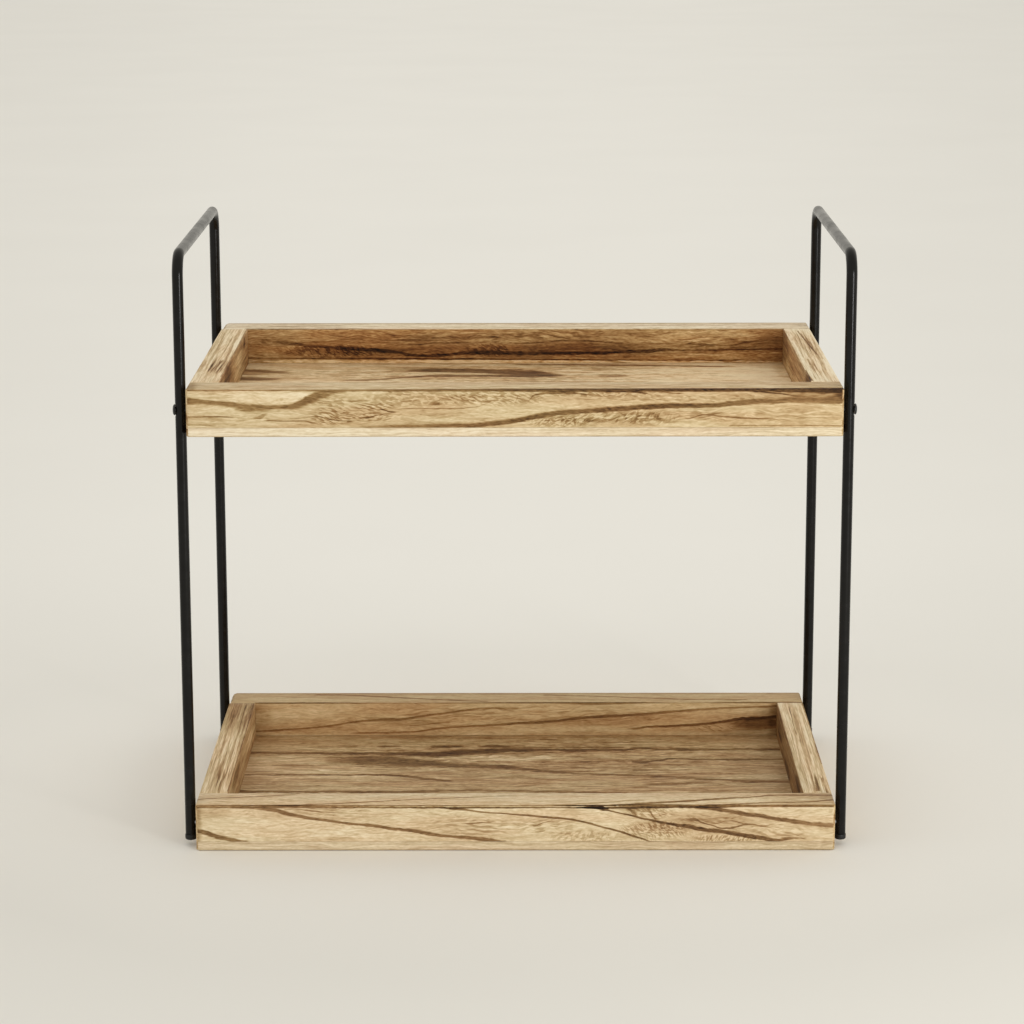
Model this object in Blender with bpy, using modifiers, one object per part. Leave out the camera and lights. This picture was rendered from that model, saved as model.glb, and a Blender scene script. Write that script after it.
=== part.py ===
"""Two-tier countertop shelf: two wooden trays carried between two bent rod frames.

Each tray is four rails, butted and dowelled at the corners, on a floor panel that is
nailed on from below. Each frame is one steel rod bent to an upside-down U. Its front leg
is screwed to the end of the upper tray's front rail. Blind pins hold its rear leg there,
and both legs to the lower tray.

Frame: metres, +Z up, X along the trays, front towards -Y. The origin is on the bench,
under the middle of the lower tray.
"""
import math

import bmesh
import bpy
from mathutils import Matrix, Vector

MM = 0.001

# Trays
TRAY_LENGTH = 355.0 * MM
TRAY_DEPTH = 232.0 * MM
LONG_RAIL_WIDTH = 23.5 * MM
END_RAIL_WIDTH = 16.2 * MM
RAIL_HEIGHT = 20.6 * MM
PANEL_THICKNESS = 5.0 * MM
UPPER_TRAY_UNDERSIDE = 234.0 * MM
CORNER_RADIUS = 2.2 * MM
ARRIS_RADIUS = 0.7 * MM

# Frames
ROD_DIAMETER = 6.0 * MM
FRAME_TOP = 334.0 * MM
BEND_RADIUS = 12.0 * MM
ROD_STAND_OFF = 0.9 * MM
SPOT_FACE_DEPTH = 0.4 * MM
SPOT_FACE_DIAMETER = 7.4 * MM
LEG_END_CLEAR_OF_BENCH = 3.0 * MM

# Caps on the leg ends
CAP_LIP = 0.25 * MM
CAP_HEIGHT = 3.0 * MM
CAP_EDGE_RADIUS = 0.8 * MM
CAP_SPIGOT_DIAMETER = 3.0 * MM
CAP_SPIGOT_LENGTH = 3.2 * MM

# Pan head screws, front legs to upper tray
SCREW_SHANK_DIAMETER = 3.0 * MM
SCREW_HEAD_DIAMETER = 6.0 * MM
SCREW_HEAD_HEIGHT = 1.4 * MM
SCREW_HEAD_WALL = 0.5 * MM
SCREW_REACH_IN_RAIL = 18.0 * MM
SCREW_TIP_LENGTH = 3.0 * MM
SCREW_TIP_DIAMETER = 0.5 * MM
RECESS_WIDTH = 0.8 * MM
RECESS_LENGTH = 2.8 * MM
RECESS_DEPTH = 0.8 * MM

# Plain pins, rear legs to upper tray and all legs to lower tray
PIN_DIAMETER = 3.0 * MM
PIN_REACH_IN_RAIL = 14.0 * MM
PIN_REACH_IN_ROD = 2.6 * MM
PIN_CHAMFER = 0.4 * MM

# Dowels in the trays' corners
DOWEL_DIAMETER = 6.0 * MM
DOWEL_REACH_IN_END_RAIL = 14.0 * MM
DOWEL_CHAMFER = 0.8 * MM
WEB_TO_SCREW_BORE = 2.0 * MM

# Flat head nails, floor panel to rails
NAIL_DIAMETER = 1.4 * MM
NAIL_HEAD_DIAMETER = 3.0 * MM
NAIL_HEAD_THICKNESS = 0.7 * MM
NAIL_REACH_IN_RAIL = 10.0 * MM
NAIL_POINT_LENGTH = 2.0 * MM
NAIL_POINT_DIAMETER = 0.3 * MM
NAIL_TO_TRAY_END = 48.0 * MM

# Fits
SEAT_GAP = 0.3 * MM
CUT_OVERRUN = 1.0 * MM
SAME_PLACE = 0.001 * MM
WELD_DISTANCE = 0.01 * MM

# Facets
ROUND_SIDES = 18
BORE_SIDES = 16
NAIL_SIDES = 10
BEND_STEPS = 9
ROD_BEVEL_RESOLUTION = 6
CORNER_SEGMENTS = 4
ARRIS_SEGMENTS = 2
DOME_STEPS = 5
SMOOTH_ANGLE = math.radians(35.0)

# Places that follow from the sizes above
TRAY_HEIGHT = PANEL_THICKNESS + SEAT_GAP + RAIL_HEIGHT
RAIL_BASE = PANEL_THICKNESS + SEAT_GAP
FASTENER_HEIGHT = TRAY_HEIGHT / 2
ROD_RADIUS = ROD_DIAMETER / 2
LEG_X = TRAY_LENGTH / 2 + ROD_STAND_OFF + ROD_RADIUS
LEG_Y = TRAY_DEPTH / 2 - LONG_RAIL_WIDTH / 2
LEG_BOTTOM = LEG_END_CLEAR_OF_BENCH + CAP_HEIGHT + SEAT_GAP
SCREW_BORE = SCREW_SHANK_DIAMETER + 2 * SEAT_GAP
DOWEL_REACH_IN_LONG_RAIL = LONG_RAIL_WIDTH / 2 - SCREW_BORE / 2 - WEB_TO_SCREW_BORE

OUT_OF_LEFT = Matrix.Rotation(math.radians(-90.0), 4, "Y")
OUT_OF_RIGHT = Matrix.Rotation(math.radians(90.0), 4, "Y")
TOWARDS_FRONT = Matrix.Rotation(math.radians(90.0), 4, "X")
TOWARDS_REAR = Matrix.Rotation(math.radians(-90.0), 4, "X")
UPRIGHT = Matrix.Identity(4)
UPSIDE_DOWN = Matrix.Rotation(math.radians(180.0), 4, "X")

parts = None
cutters = None


# Scene and materials

def clear_scene():
    """Remove every object that the file starts with."""
    for obj in list(bpy.data.objects):
        bpy.data.objects.remove(obj, do_unlink=True)


def make_collection(name):
    """Make an empty collection in the scene."""
    collection = bpy.data.collections.new(name)
    bpy.context.scene.collection.children.link(collection)
    return collection


def make_material(name, colour, roughness, metallic=0.0):
    """Make a Principled material."""
    material = bpy.data.materials.new(name)
    material.use_nodes = True
    shader = material.node_tree.nodes["Principled BSDF"]
    shader.inputs["Base Color"].default_value = (*colour, 1.0)
    shader.inputs["Roughness"].default_value = roughness
    shader.inputs["Metallic"].default_value = metallic
    return material


def keep_part(obj, material):
    """File an object under the shelf and give it its material."""
    obj.data.materials.clear()
    obj.data.materials.append(material)
    for collection in list(obj.users_collection):
        collection.objects.unlink(obj)
    parts.objects.link(obj)
    return obj


def keep_cutter(obj):
    """File an object as a cutter, shown as wire and left out of renders."""
    for collection in list(obj.users_collection):
        collection.objects.unlink(obj)
    cutters.objects.link(obj)
    obj.hide_render = True
    obj.display_type = "WIRE"
    return obj


# Solids

def box(name, low, high):
    """Make a box between two corners, with its scale applied."""
    low = Vector(low)
    high = Vector(high)
    bpy.ops.mesh.primitive_cube_add(size=1.0)
    obj = bpy.context.active_object
    obj.name = name
    obj.data.transform(Matrix.Diagonal((*(high - low), 1.0)))
    obj.location = (low + high) / 2
    return obj


def cylinder(name, diameter, length, start, turn, sides=BORE_SIDES):
    """Make a cylinder that runs from start along the turned +Z axis."""
    bpy.ops.mesh.primitive_cylinder_add(vertices=sides, radius=diameter / 2, depth=length)
    obj = bpy.context.active_object
    obj.name = name
    obj.data.transform(Matrix.Translation((0.0, 0.0, length / 2)))
    obj.matrix_world = Matrix.Translation(start) @ turn
    return obj


def turned(name, profile, start, turn, sides=ROUND_SIDES):
    """Turn a profile of (radius, height) points, listed top to bottom, about its axis."""
    mesh = bpy.data.meshes.new(name)
    points = [(radius, 0.0, height) for radius, height in profile]
    mesh.from_pydata(points, [(i, i + 1) for i in range(len(points) - 1)], [])
    obj = bpy.data.objects.new(name, mesh)
    bpy.context.scene.collection.objects.link(obj)
    lathe = obj.modifiers.new("lathe", "SCREW")
    lathe.axis = "Z"
    lathe.steps = sides
    lathe.render_steps = sides
    lathe.use_merge_vertices = True
    lathe.merge_threshold = WELD_DISTANCE
    lathe.use_smooth_shade = False
    obj.matrix_world = Matrix.Translation(start) @ turn
    return obj


def cut(obj, cutter):
    """Cut one solid with another."""
    boolean = obj.modifiers.new(cutter.name, "BOOLEAN")
    boolean.operation = "DIFFERENCE"
    boolean.solver = "EXACT"
    boolean.object = keep_cutter(cutter)


def split_at(obj, plane_x):
    """Score a mesh across its length, so that an edge can be rounded on one side only."""
    bm = bmesh.new()
    bm.from_mesh(obj.data)
    everything = bm.verts[:] + bm.edges[:] + bm.faces[:]
    local_x = plane_x - obj.location.x
    bmesh.ops.bisect_plane(bm, geom=everything, dist=SAME_PLACE,
                           plane_co=(local_x, 0.0, 0.0), plane_no=(1.0, 0.0, 0.0))
    bm.to_mesh(obj.data)
    bm.free()


def round_edges(obj, radius, segments, wanted):
    """Round each edge whose two ends both pass the test wanted, given in the shelf's frame."""
    bm = bmesh.new()
    bm.from_mesh(obj.data)
    edges = [edge for edge in bm.edges
             if edge.is_manifold and edge.calc_face_angle() > SMOOTH_ANGLE
             and all(wanted(vert.co + obj.location) for vert in edge.verts)]
    bmesh.ops.bevel(bm, geom=edges, offset=radius, segments=segments, profile=0.5,
                    affect="EDGES", clamp_overlap=True)
    bm.to_mesh(obj.data)
    bm.free()


def at(value, target):
    """Tell whether a coordinate is at a place."""
    return abs(value - target) < SAME_PLACE


# Trays

def long_rail(name, side, base, material):
    """Make a front (side -1) or rear (side 1) rail, as long as the tray."""
    outer_y = side * TRAY_DEPTH / 2
    inner_y = side * (TRAY_DEPTH / 2 - LONG_RAIL_WIDTH)
    low_z = base + RAIL_BASE
    high_z = base + TRAY_HEIGHT
    rail = box(name, (-TRAY_LENGTH / 2, min(outer_y, inner_y), low_z),
               (TRAY_LENGTH / 2, max(outer_y, inner_y), high_z))
    opening_x = TRAY_LENGTH / 2 - END_RAIL_WIDTH
    split_at(rail, opening_x)
    split_at(rail, -opening_x)
    round_edges(rail, ARRIS_RADIUS, ARRIS_SEGMENTS,
                lambda p: at(p.z, high_z) and at(p.y, inner_y) and abs(p.x) < opening_x + SAME_PLACE)
    round_edges(rail, CORNER_RADIUS, CORNER_SEGMENTS,
                lambda p: at(abs(p.x), TRAY_LENGTH / 2) and at(p.y, outer_y))
    on_rim = abs(inner_y) + SAME_PLACE
    round_edges(rail, ARRIS_RADIUS, ARRIS_SEGMENTS,
                lambda p: at(p.z, high_z) and (abs(p.y) > on_rim or at(abs(p.x), TRAY_LENGTH / 2)))
    return keep_part(rail, material)


def end_rail(name, side, base, material):
    """Make a left (side -1) or right (side 1) rail, between the two long rails."""
    outer_x = side * TRAY_LENGTH / 2
    inner_x = side * (TRAY_LENGTH / 2 - END_RAIL_WIDTH)
    reach_y = TRAY_DEPTH / 2 - LONG_RAIL_WIDTH - SEAT_GAP
    high_z = base + TRAY_HEIGHT
    rail = box(name, (min(outer_x, inner_x), -reach_y, base + RAIL_BASE),
               (max(outer_x, inner_x), reach_y, high_z))
    for rim_x in (outer_x, inner_x):
        round_edges(rail, ARRIS_RADIUS, ARRIS_SEGMENTS,
                    lambda p: at(p.z, high_z) and at(p.x, rim_x))
    return keep_part(rail, material)


def floor_panel(name, base, material):
    """Make the panel under the rails, flush with their outer faces."""
    panel = box(name, (-TRAY_LENGTH / 2, -TRAY_DEPTH / 2, base),
                (TRAY_LENGTH / 2, TRAY_DEPTH / 2, base + PANEL_THICKNESS))
    round_edges(panel, CORNER_RADIUS, CORNER_SEGMENTS,
                lambda p: at(abs(p.x), TRAY_LENGTH / 2) and at(abs(p.y), TRAY_DEPTH / 2))
    round_edges(panel, ARRIS_RADIUS, ARRIS_SEGMENTS, lambda p: at(p.z, base))
    return keep_part(panel, material)


def corner_dowel(name, side_x, side_y, base, long_piece, end_piece, material):
    """Dowel an end rail to a long rail, short of the fastener that crosses behind it."""
    middle = Vector((side_x * (TRAY_LENGTH / 2 - END_RAIL_WIDTH / 2), 0.0,
                     base + RAIL_BASE + RAIL_HEIGHT / 2))
    joint_y = TRAY_DEPTH / 2 - LONG_RAIL_WIDTH
    start_y = joint_y - SEAT_GAP - DOWEL_REACH_IN_END_RAIL
    length = DOWEL_REACH_IN_END_RAIL + SEAT_GAP + DOWEL_REACH_IN_LONG_RAIL
    turn = TOWARDS_REAR if side_y > 0 else TOWARDS_FRONT
    radius = DOWEL_DIAMETER / 2
    neck = radius - DOWEL_CHAMFER
    profile = [(0.0, length), (neck, length), (radius, length - DOWEL_CHAMFER),
               (radius, DOWEL_CHAMFER), (neck, 0.0), (0.0, 0.0)]
    start = middle + Vector((0.0, side_y * start_y, 0.0))
    dowel = turned(name, profile, start, turn)
    bore_start = start - Vector((0.0, side_y * SEAT_GAP, 0.0))
    for piece in (long_piece, end_piece):
        cut(piece, cylinder(f"{piece.name}_{name}_bore", DOWEL_DIAMETER + 2 * SEAT_GAP,
                            length + 2 * SEAT_GAP, bore_start, turn))
    return keep_part(dowel, material)


def panel_nail(name, place, base, panel, rail, material):
    """Nail the panel to a rail from below, with the head sunk flush."""
    shank = NAIL_DIAMETER / 2
    head = NAIL_HEAD_DIAMETER / 2
    length = PANEL_THICKNESS + SEAT_GAP + NAIL_REACH_IN_RAIL
    profile = [(0.0, length), (NAIL_POINT_DIAMETER / 2, length), (shank, length - NAIL_POINT_LENGTH),
               (shank, NAIL_HEAD_THICKNESS), (head, NAIL_HEAD_THICKNESS), (head, 0.0), (0.0, 0.0)]
    start = Vector((*place, base))
    nail = turned(name, profile, start, UPRIGHT, NAIL_SIDES)
    below = start - Vector((0.0, 0.0, CUT_OVERRUN))
    bore = NAIL_DIAMETER + 2 * SEAT_GAP
    for piece in (panel, rail):
        cut(piece, cylinder(f"{piece.name}_{name}_bore", bore, length + CUT_OVERRUN + SEAT_GAP,
                            below, UPRIGHT, NAIL_SIDES))
    cut(panel, cylinder(f"{name}_head_seat", NAIL_HEAD_DIAMETER + 2 * SEAT_GAP,
                        NAIL_HEAD_THICKNESS + SEAT_GAP + CUT_OVERRUN, below, UPRIGHT, NAIL_SIDES))
    return keep_part(nail, material)


def make_tray(tray, base, materials):
    """Make one tray with its dowels and nails, and return its long rails by side."""
    long_rails = {-1: long_rail(f"{tray}_front_rail", -1, base, materials["torched_wood"]),
                  1: long_rail(f"{tray}_rear_rail", 1, base, materials["torched_wood"])}
    end_rails = {-1: end_rail(f"{tray}_left_end_rail", -1, base, materials["torched_wood"]),
                 1: end_rail(f"{tray}_right_end_rail", 1, base, materials["torched_wood"])}
    panel = floor_panel(f"{tray}_floor_panel", base, materials["panel_wood"])
    rows = {-1: "front", 1: "rear"}
    ends = {-1: "left", 1: "right"}
    for side_y, row in rows.items():
        for side_x, end in ends.items():
            corner_dowel(f"{tray}_{row}_{end}_dowel", side_x, side_y, base,
                         long_rails[side_y], end_rails[side_x], materials["dowel_wood"])
    nail_x = TRAY_LENGTH / 2 - NAIL_TO_TRAY_END
    for side_y, row in rows.items():
        for column, place_x in (("left", -nail_x), ("middle", 0.0), ("right", nail_x)):
            panel_nail(f"{tray}_{row}_{column}_nail", (place_x, side_y * LEG_Y), base,
                       panel, long_rails[side_y], materials["nail_steel"])
    end_nail_x = TRAY_LENGTH / 2 - END_RAIL_WIDTH / 2
    for side_x, end in ends.items():
        panel_nail(f"{tray}_{end}_end_nail", (side_x * end_nail_x, 0.0), base,
                   panel, end_rails[side_x], materials["nail_steel"])
    return long_rails


# Frames

def frame_route():
    """Points of the rod's centre line in (y, z), up the front leg and down the rear one."""
    top = FRAME_TOP - ROD_RADIUS
    route = [(-LEG_Y, LEG_BOTTOM)]
    for centre_y, first_angle in ((-LEG_Y + BEND_RADIUS, 180.0), (LEG_Y - BEND_RADIUS, 90.0)):
        for step in range(BEND_STEPS + 1):
            angle = math.radians(first_angle - 90.0 * step / BEND_STEPS)
            route.append((centre_y + BEND_RADIUS * math.cos(angle),
                          top - BEND_RADIUS + BEND_RADIUS * math.sin(angle)))
    route.append((LEG_Y, LEG_BOTTOM))
    return route


def bent_rod(name, side, material):
    """Sweep one frame's rod and weld its end faces on."""
    curve = bpy.data.curves.new(f"{name}_route", "CURVE")
    curve.dimensions = "3D"
    curve.bevel_depth = ROD_RADIUS
    curve.bevel_resolution = ROD_BEVEL_RESOLUTION
    curve.use_fill_caps = True
    route = frame_route()
    spline = curve.splines.new("POLY")
    spline.points.add(len(route) - 1)
    for point, (y, z) in zip(spline.points, route):
        point.co = (0.0, y, z, 1.0)
    guide = bpy.data.objects.new(f"{name}_route", curve)
    guide.location = (side * LEG_X, 0.0, 0.0)
    bpy.context.scene.collection.objects.link(guide)
    bpy.context.view_layer.update()
    evaluated = guide.evaluated_get(bpy.context.evaluated_depsgraph_get())
    mesh = bpy.data.meshes.new_from_object(evaluated)
    bm = bmesh.new()
    bm.from_mesh(mesh)
    bmesh.ops.remove_doubles(bm, verts=bm.verts, dist=WELD_DISTANCE)
    bm.to_mesh(mesh)
    bm.free()
    mesh.name = name
    rod = bpy.data.objects.new(name, mesh)
    rod.matrix_world = guide.matrix_world
    bpy.data.objects.remove(guide, do_unlink=True)
    return keep_part(rod, material)


def outward(side):
    """Turn that points +Z out of the left (side -1) or right (side 1) end."""
    return OUT_OF_RIGHT if side > 0 else OUT_OF_LEFT


def frame_screw(name, side, leg_y, base, rod, rail, material):
    """Screw a leg to the end of a long rail, with the pan head on a spot face."""
    height = base + FASTENER_HEIGHT
    seat_x = LEG_X + ROD_RADIUS - SPOT_FACE_DEPTH
    head_base = seat_x + SEAT_GAP
    tip_x = TRAY_LENGTH / 2 - SCREW_REACH_IN_RAIL
    head = SCREW_HEAD_DIAMETER / 2
    shank = SCREW_SHANK_DIAMETER / 2
    under_head = head_base - tip_x
    dome = SCREW_HEAD_HEIGHT - SCREW_HEAD_WALL
    profile = []
    for step in range(DOME_STEPS + 1):
        angle = math.radians(90.0 * step / DOME_STEPS)
        profile.append((head * math.sin(angle), under_head + SCREW_HEAD_WALL + dome * math.cos(angle)))
    profile += [(head, under_head), (shank, under_head), (shank, SCREW_TIP_LENGTH),
                (SCREW_TIP_DIAMETER / 2, 0.0), (0.0, 0.0)]
    turn = outward(side)
    screw = turned(name, profile, Vector((side * tip_x, leg_y, height)), turn)
    bore_start = Vector((side * (tip_x - SEAT_GAP), leg_y, height))
    bore_length = seat_x + CUT_OVERRUN - tip_x + SEAT_GAP
    for piece in (rail, rod):
        cut(piece, cylinder(f"{piece.name}_{name}_bore", SCREW_BORE, bore_length, bore_start, turn))
    cut(rod, cylinder(f"{name}_spot_face", SPOT_FACE_DIAMETER, SPOT_FACE_DEPTH + CUT_OVERRUN,
                      Vector((side * seat_x, leg_y, height)), turn))
    crown_x = head_base + SCREW_HEAD_HEIGHT
    for arm, (reach_y, reach_z) in (("flat", (RECESS_LENGTH, RECESS_WIDTH)),
                                    ("tall", (RECESS_WIDTH, RECESS_LENGTH))):
        ends_x = sorted((side * (crown_x - RECESS_DEPTH), side * (crown_x + CUT_OVERRUN)))
        cut(screw, box(f"{name}_{arm}_slot", (ends_x[0], leg_y - reach_y / 2, height - reach_z / 2),
                       (ends_x[1], leg_y + reach_y / 2, height + reach_z / 2)))
    return keep_part(screw, material)


def frame_pin(name, side, leg_y, base, rod, rail, material):
    """Pin a leg to the end of a long rail, blind in both."""
    height = base + FASTENER_HEIGHT
    start_x = TRAY_LENGTH / 2 - PIN_REACH_IN_RAIL
    length = PIN_REACH_IN_RAIL + ROD_STAND_OFF + PIN_REACH_IN_ROD
    radius = PIN_DIAMETER / 2
    neck = radius - PIN_CHAMFER
    profile = [(0.0, length), (neck, length), (radius, length - PIN_CHAMFER),
               (radius, PIN_CHAMFER), (neck, 0.0), (0.0, 0.0)]
    turn = outward(side)
    pin = turned(name, profile, Vector((side * start_x, leg_y, height)), turn)
    bore_start = Vector((side * (start_x - SEAT_GAP), leg_y, height))
    for piece in (rail, rod):
        cut(piece, cylinder(f"{piece.name}_{name}_bore", PIN_DIAMETER + 2 * SEAT_GAP,
                            length + 2 * SEAT_GAP, bore_start, turn))
    return keep_part(pin, material)


def leg_cap(name, side, leg_y, rod, material):
    """Cap a leg's lower end, with a spigot up into the rod."""
    outer = ROD_RADIUS + CAP_LIP
    spigot = CAP_SPIGOT_DIAMETER / 2
    top = CAP_HEIGHT + SEAT_GAP + CAP_SPIGOT_LENGTH
    profile = [(0.0, top), (spigot, top), (spigot, CAP_HEIGHT), (outer, CAP_HEIGHT)]
    for step in range(DOME_STEPS + 1):
        angle = math.radians(90.0 * step / DOME_STEPS)
        profile.append((outer - CAP_EDGE_RADIUS + CAP_EDGE_RADIUS * math.cos(angle),
                        CAP_EDGE_RADIUS - CAP_EDGE_RADIUS * math.sin(angle)))
    profile.append((0.0, 0.0))
    cap = turned(name, profile, Vector((side * LEG_X, leg_y, LEG_END_CLEAR_OF_BENCH)), UPRIGHT)
    bore_top = Vector((side * LEG_X, leg_y, LEG_BOTTOM + CAP_SPIGOT_LENGTH + SEAT_GAP))
    cut(rod, cylinder(f"{name}_bore", CAP_SPIGOT_DIAMETER + 2 * SEAT_GAP,
                      CAP_SPIGOT_LENGTH + SEAT_GAP + CUT_OVERRUN, bore_top, UPSIDE_DOWN))
    return keep_part(cap, material)


def make_frame(frame, side, upper_rails, lower_rails, materials):
    """Make one bent rod with its screws, pins and leg caps."""
    rod = bent_rod(f"{frame}_frame", side, materials["black_frame"])
    for side_y, row in ((-1, "front"), (1, "rear")):
        leg_y = side_y * LEG_Y
        if row == "front":
            frame_screw(f"{frame}_{row}_upper_screw", side, leg_y, UPPER_TRAY_UNDERSIDE,
                        rod, upper_rails[side_y], materials["black_screw"])
        else:
            frame_pin(f"{frame}_{row}_upper_pin", side, leg_y, UPPER_TRAY_UNDERSIDE,
                      rod, upper_rails[side_y], materials["pin_steel"])
        frame_pin(f"{frame}_{row}_lower_pin", side, leg_y, 0.0,
                  rod, lower_rails[side_y], materials["pin_steel"])
        leg_cap(f"{frame}_{row}_leg_cap", side, leg_y, rod, materials["black_plastic"])


def shade_round_pieces():
    """Shade curved faces smooth and keep the true edges sharp."""
    for obj in parts.objects:
        obj.data.shade_smooth()
        obj.data.set_sharp_from_angle(angle=SMOOTH_ANGLE)


def make_materials():
    """Make the shelf's materials, by name."""
    return {
        "torched_wood": make_material("torched_wood", (0.58, 0.40, 0.22), 0.62),
        "panel_wood": make_material("panel_wood", (0.50, 0.33, 0.18), 0.65),
        "dowel_wood": make_material("dowel_wood", (0.66, 0.50, 0.32), 0.60),
        "black_frame": make_material("black_frame", (0.018, 0.018, 0.017), 0.38),
        "black_screw": make_material("black_screw", (0.020, 0.020, 0.020), 0.35, 0.6),
        "black_plastic": make_material("black_plastic", (0.016, 0.016, 0.016), 0.50),
        "pin_steel": make_material("pin_steel", (0.45, 0.45, 0.46), 0.35, 1.0),
        "nail_steel": make_material("nail_steel", (0.50, 0.50, 0.51), 0.40, 1.0),
    }


clear_scene()
parts = make_collection("two_tier_countertop_shelf")
cutters = make_collection("cutters")
shelf_materials = make_materials()
upper_long_rails = make_tray("upper_tray", UPPER_TRAY_UNDERSIDE, shelf_materials)
lower_long_rails = make_tray("lower_tray", 0.0, shelf_materials)
for frame_name, frame_side in (("left", -1), ("right", 1)):
    make_frame(frame_name, frame_side, upper_long_rails, lower_long_rails, shelf_materials)
shade_round_pieces()
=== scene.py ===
"""The look of a two-tier countertop shelf: two torched wood trays between two bent rod frames.

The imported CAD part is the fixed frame. Each visible piece is modelled again with finer edges, and
gets a finish made of shader nodes: torched and brushed softwood, satin black powder coat, black
screws and caps, bright nails. The hidden dowels and pins stay as they are, with finishes of their
own. Lengths are in metres.

The wood's grain is drawn face by face. A face's char runs from 0, pale wood, to 1, black, and its
places are shares of the face, from 0 to 1 along X or Y and from 0 to 1 across. The points of its
growth lines give both in thousandths.
"""

import logging
import math
from collections.abc import Callable
from dataclasses import dataclass, field
from enum import Enum

import bmesh
import bpy
from mathutils import Matrix, Vector


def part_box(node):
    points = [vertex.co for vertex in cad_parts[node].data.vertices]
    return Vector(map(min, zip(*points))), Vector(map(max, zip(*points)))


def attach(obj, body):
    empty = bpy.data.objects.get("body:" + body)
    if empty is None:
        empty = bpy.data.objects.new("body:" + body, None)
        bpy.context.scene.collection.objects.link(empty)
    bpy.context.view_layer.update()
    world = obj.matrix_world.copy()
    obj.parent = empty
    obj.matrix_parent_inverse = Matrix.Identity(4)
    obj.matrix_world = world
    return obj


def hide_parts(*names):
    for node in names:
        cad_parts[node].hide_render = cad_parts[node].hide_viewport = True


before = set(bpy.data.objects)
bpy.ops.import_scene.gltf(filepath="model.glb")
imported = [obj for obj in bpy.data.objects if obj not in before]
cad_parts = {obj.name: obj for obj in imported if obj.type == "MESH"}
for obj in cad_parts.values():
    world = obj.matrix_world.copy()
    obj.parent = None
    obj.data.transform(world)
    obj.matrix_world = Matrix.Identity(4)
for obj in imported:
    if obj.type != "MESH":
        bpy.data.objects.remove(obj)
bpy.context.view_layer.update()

log = logging.getLogger("shelf")

Socket = bpy.types.NodeSocket
Feed = Socket | float | int | tuple[float, ...]
Triple = tuple[float, float, float]
Colour = tuple[float, float, float]
Stops = tuple[tuple[float, Colour], ...]
Point = tuple[int, int, int, int]
Primitive = Callable[[], object]

# Where two coordinates count as the same, and where two points are merged
NEAR = 1e-5
DOUBLE = 2e-6

# A tray's opening between its rails, and the middle of its long rails, where the legs stand
OPENING_X = (-0.1613, 0.1613)
OPENING_Y = (-0.0925, 0.0925)
RAIL_MIDDLE_Y = 0.10425


class Axis(Enum):
    """A world axis, with its place in a vector."""

    X = 0
    Y = 1
    Z = 2


class Side(Enum):
    """An end of the shelf as seen from the front, with its sign along X."""

    LEFT = -1
    RIGHT = 1


class Row(Enum):
    """The front or the rear of the shelf, with its sign along Y."""

    FRONT = -1
    REAR = 1


class Tier(Enum):
    """One of the two trays, by the name that its nodes start with."""

    UPPER = "upper_tray"
    LOWER = "lower_tray"


class Face(Enum):
    """A face of a board: the axis it looks along, and which end of it."""

    LEFT = (Axis.X, 0)
    RIGHT = (Axis.X, 1)
    FRONT = (Axis.Y, 0)
    BACK = (Axis.Y, 1)
    BOTTOM = (Axis.Z, 0)
    TOP = (Axis.Z, 1)


def srgb(red: float, green: float, blue: float) -> tuple[float, float, float, float]:
    """Turns a screen colour into a shader colour.

    Args:
        red: Red from 0 to 255.
        green: Green from 0 to 255.
        blue: Blue from 0 to 255.

    Returns:
        The linear colour with an alpha of 1.
    """
    parts = (c / 255 for c in (red, green, blue))
    line = [p / 12.92 if p <= 0.04045 else ((p + 0.055) / 1.055) ** 2.4 for p in parts]
    return (line[0], line[1], line[2], 1.0)


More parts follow.
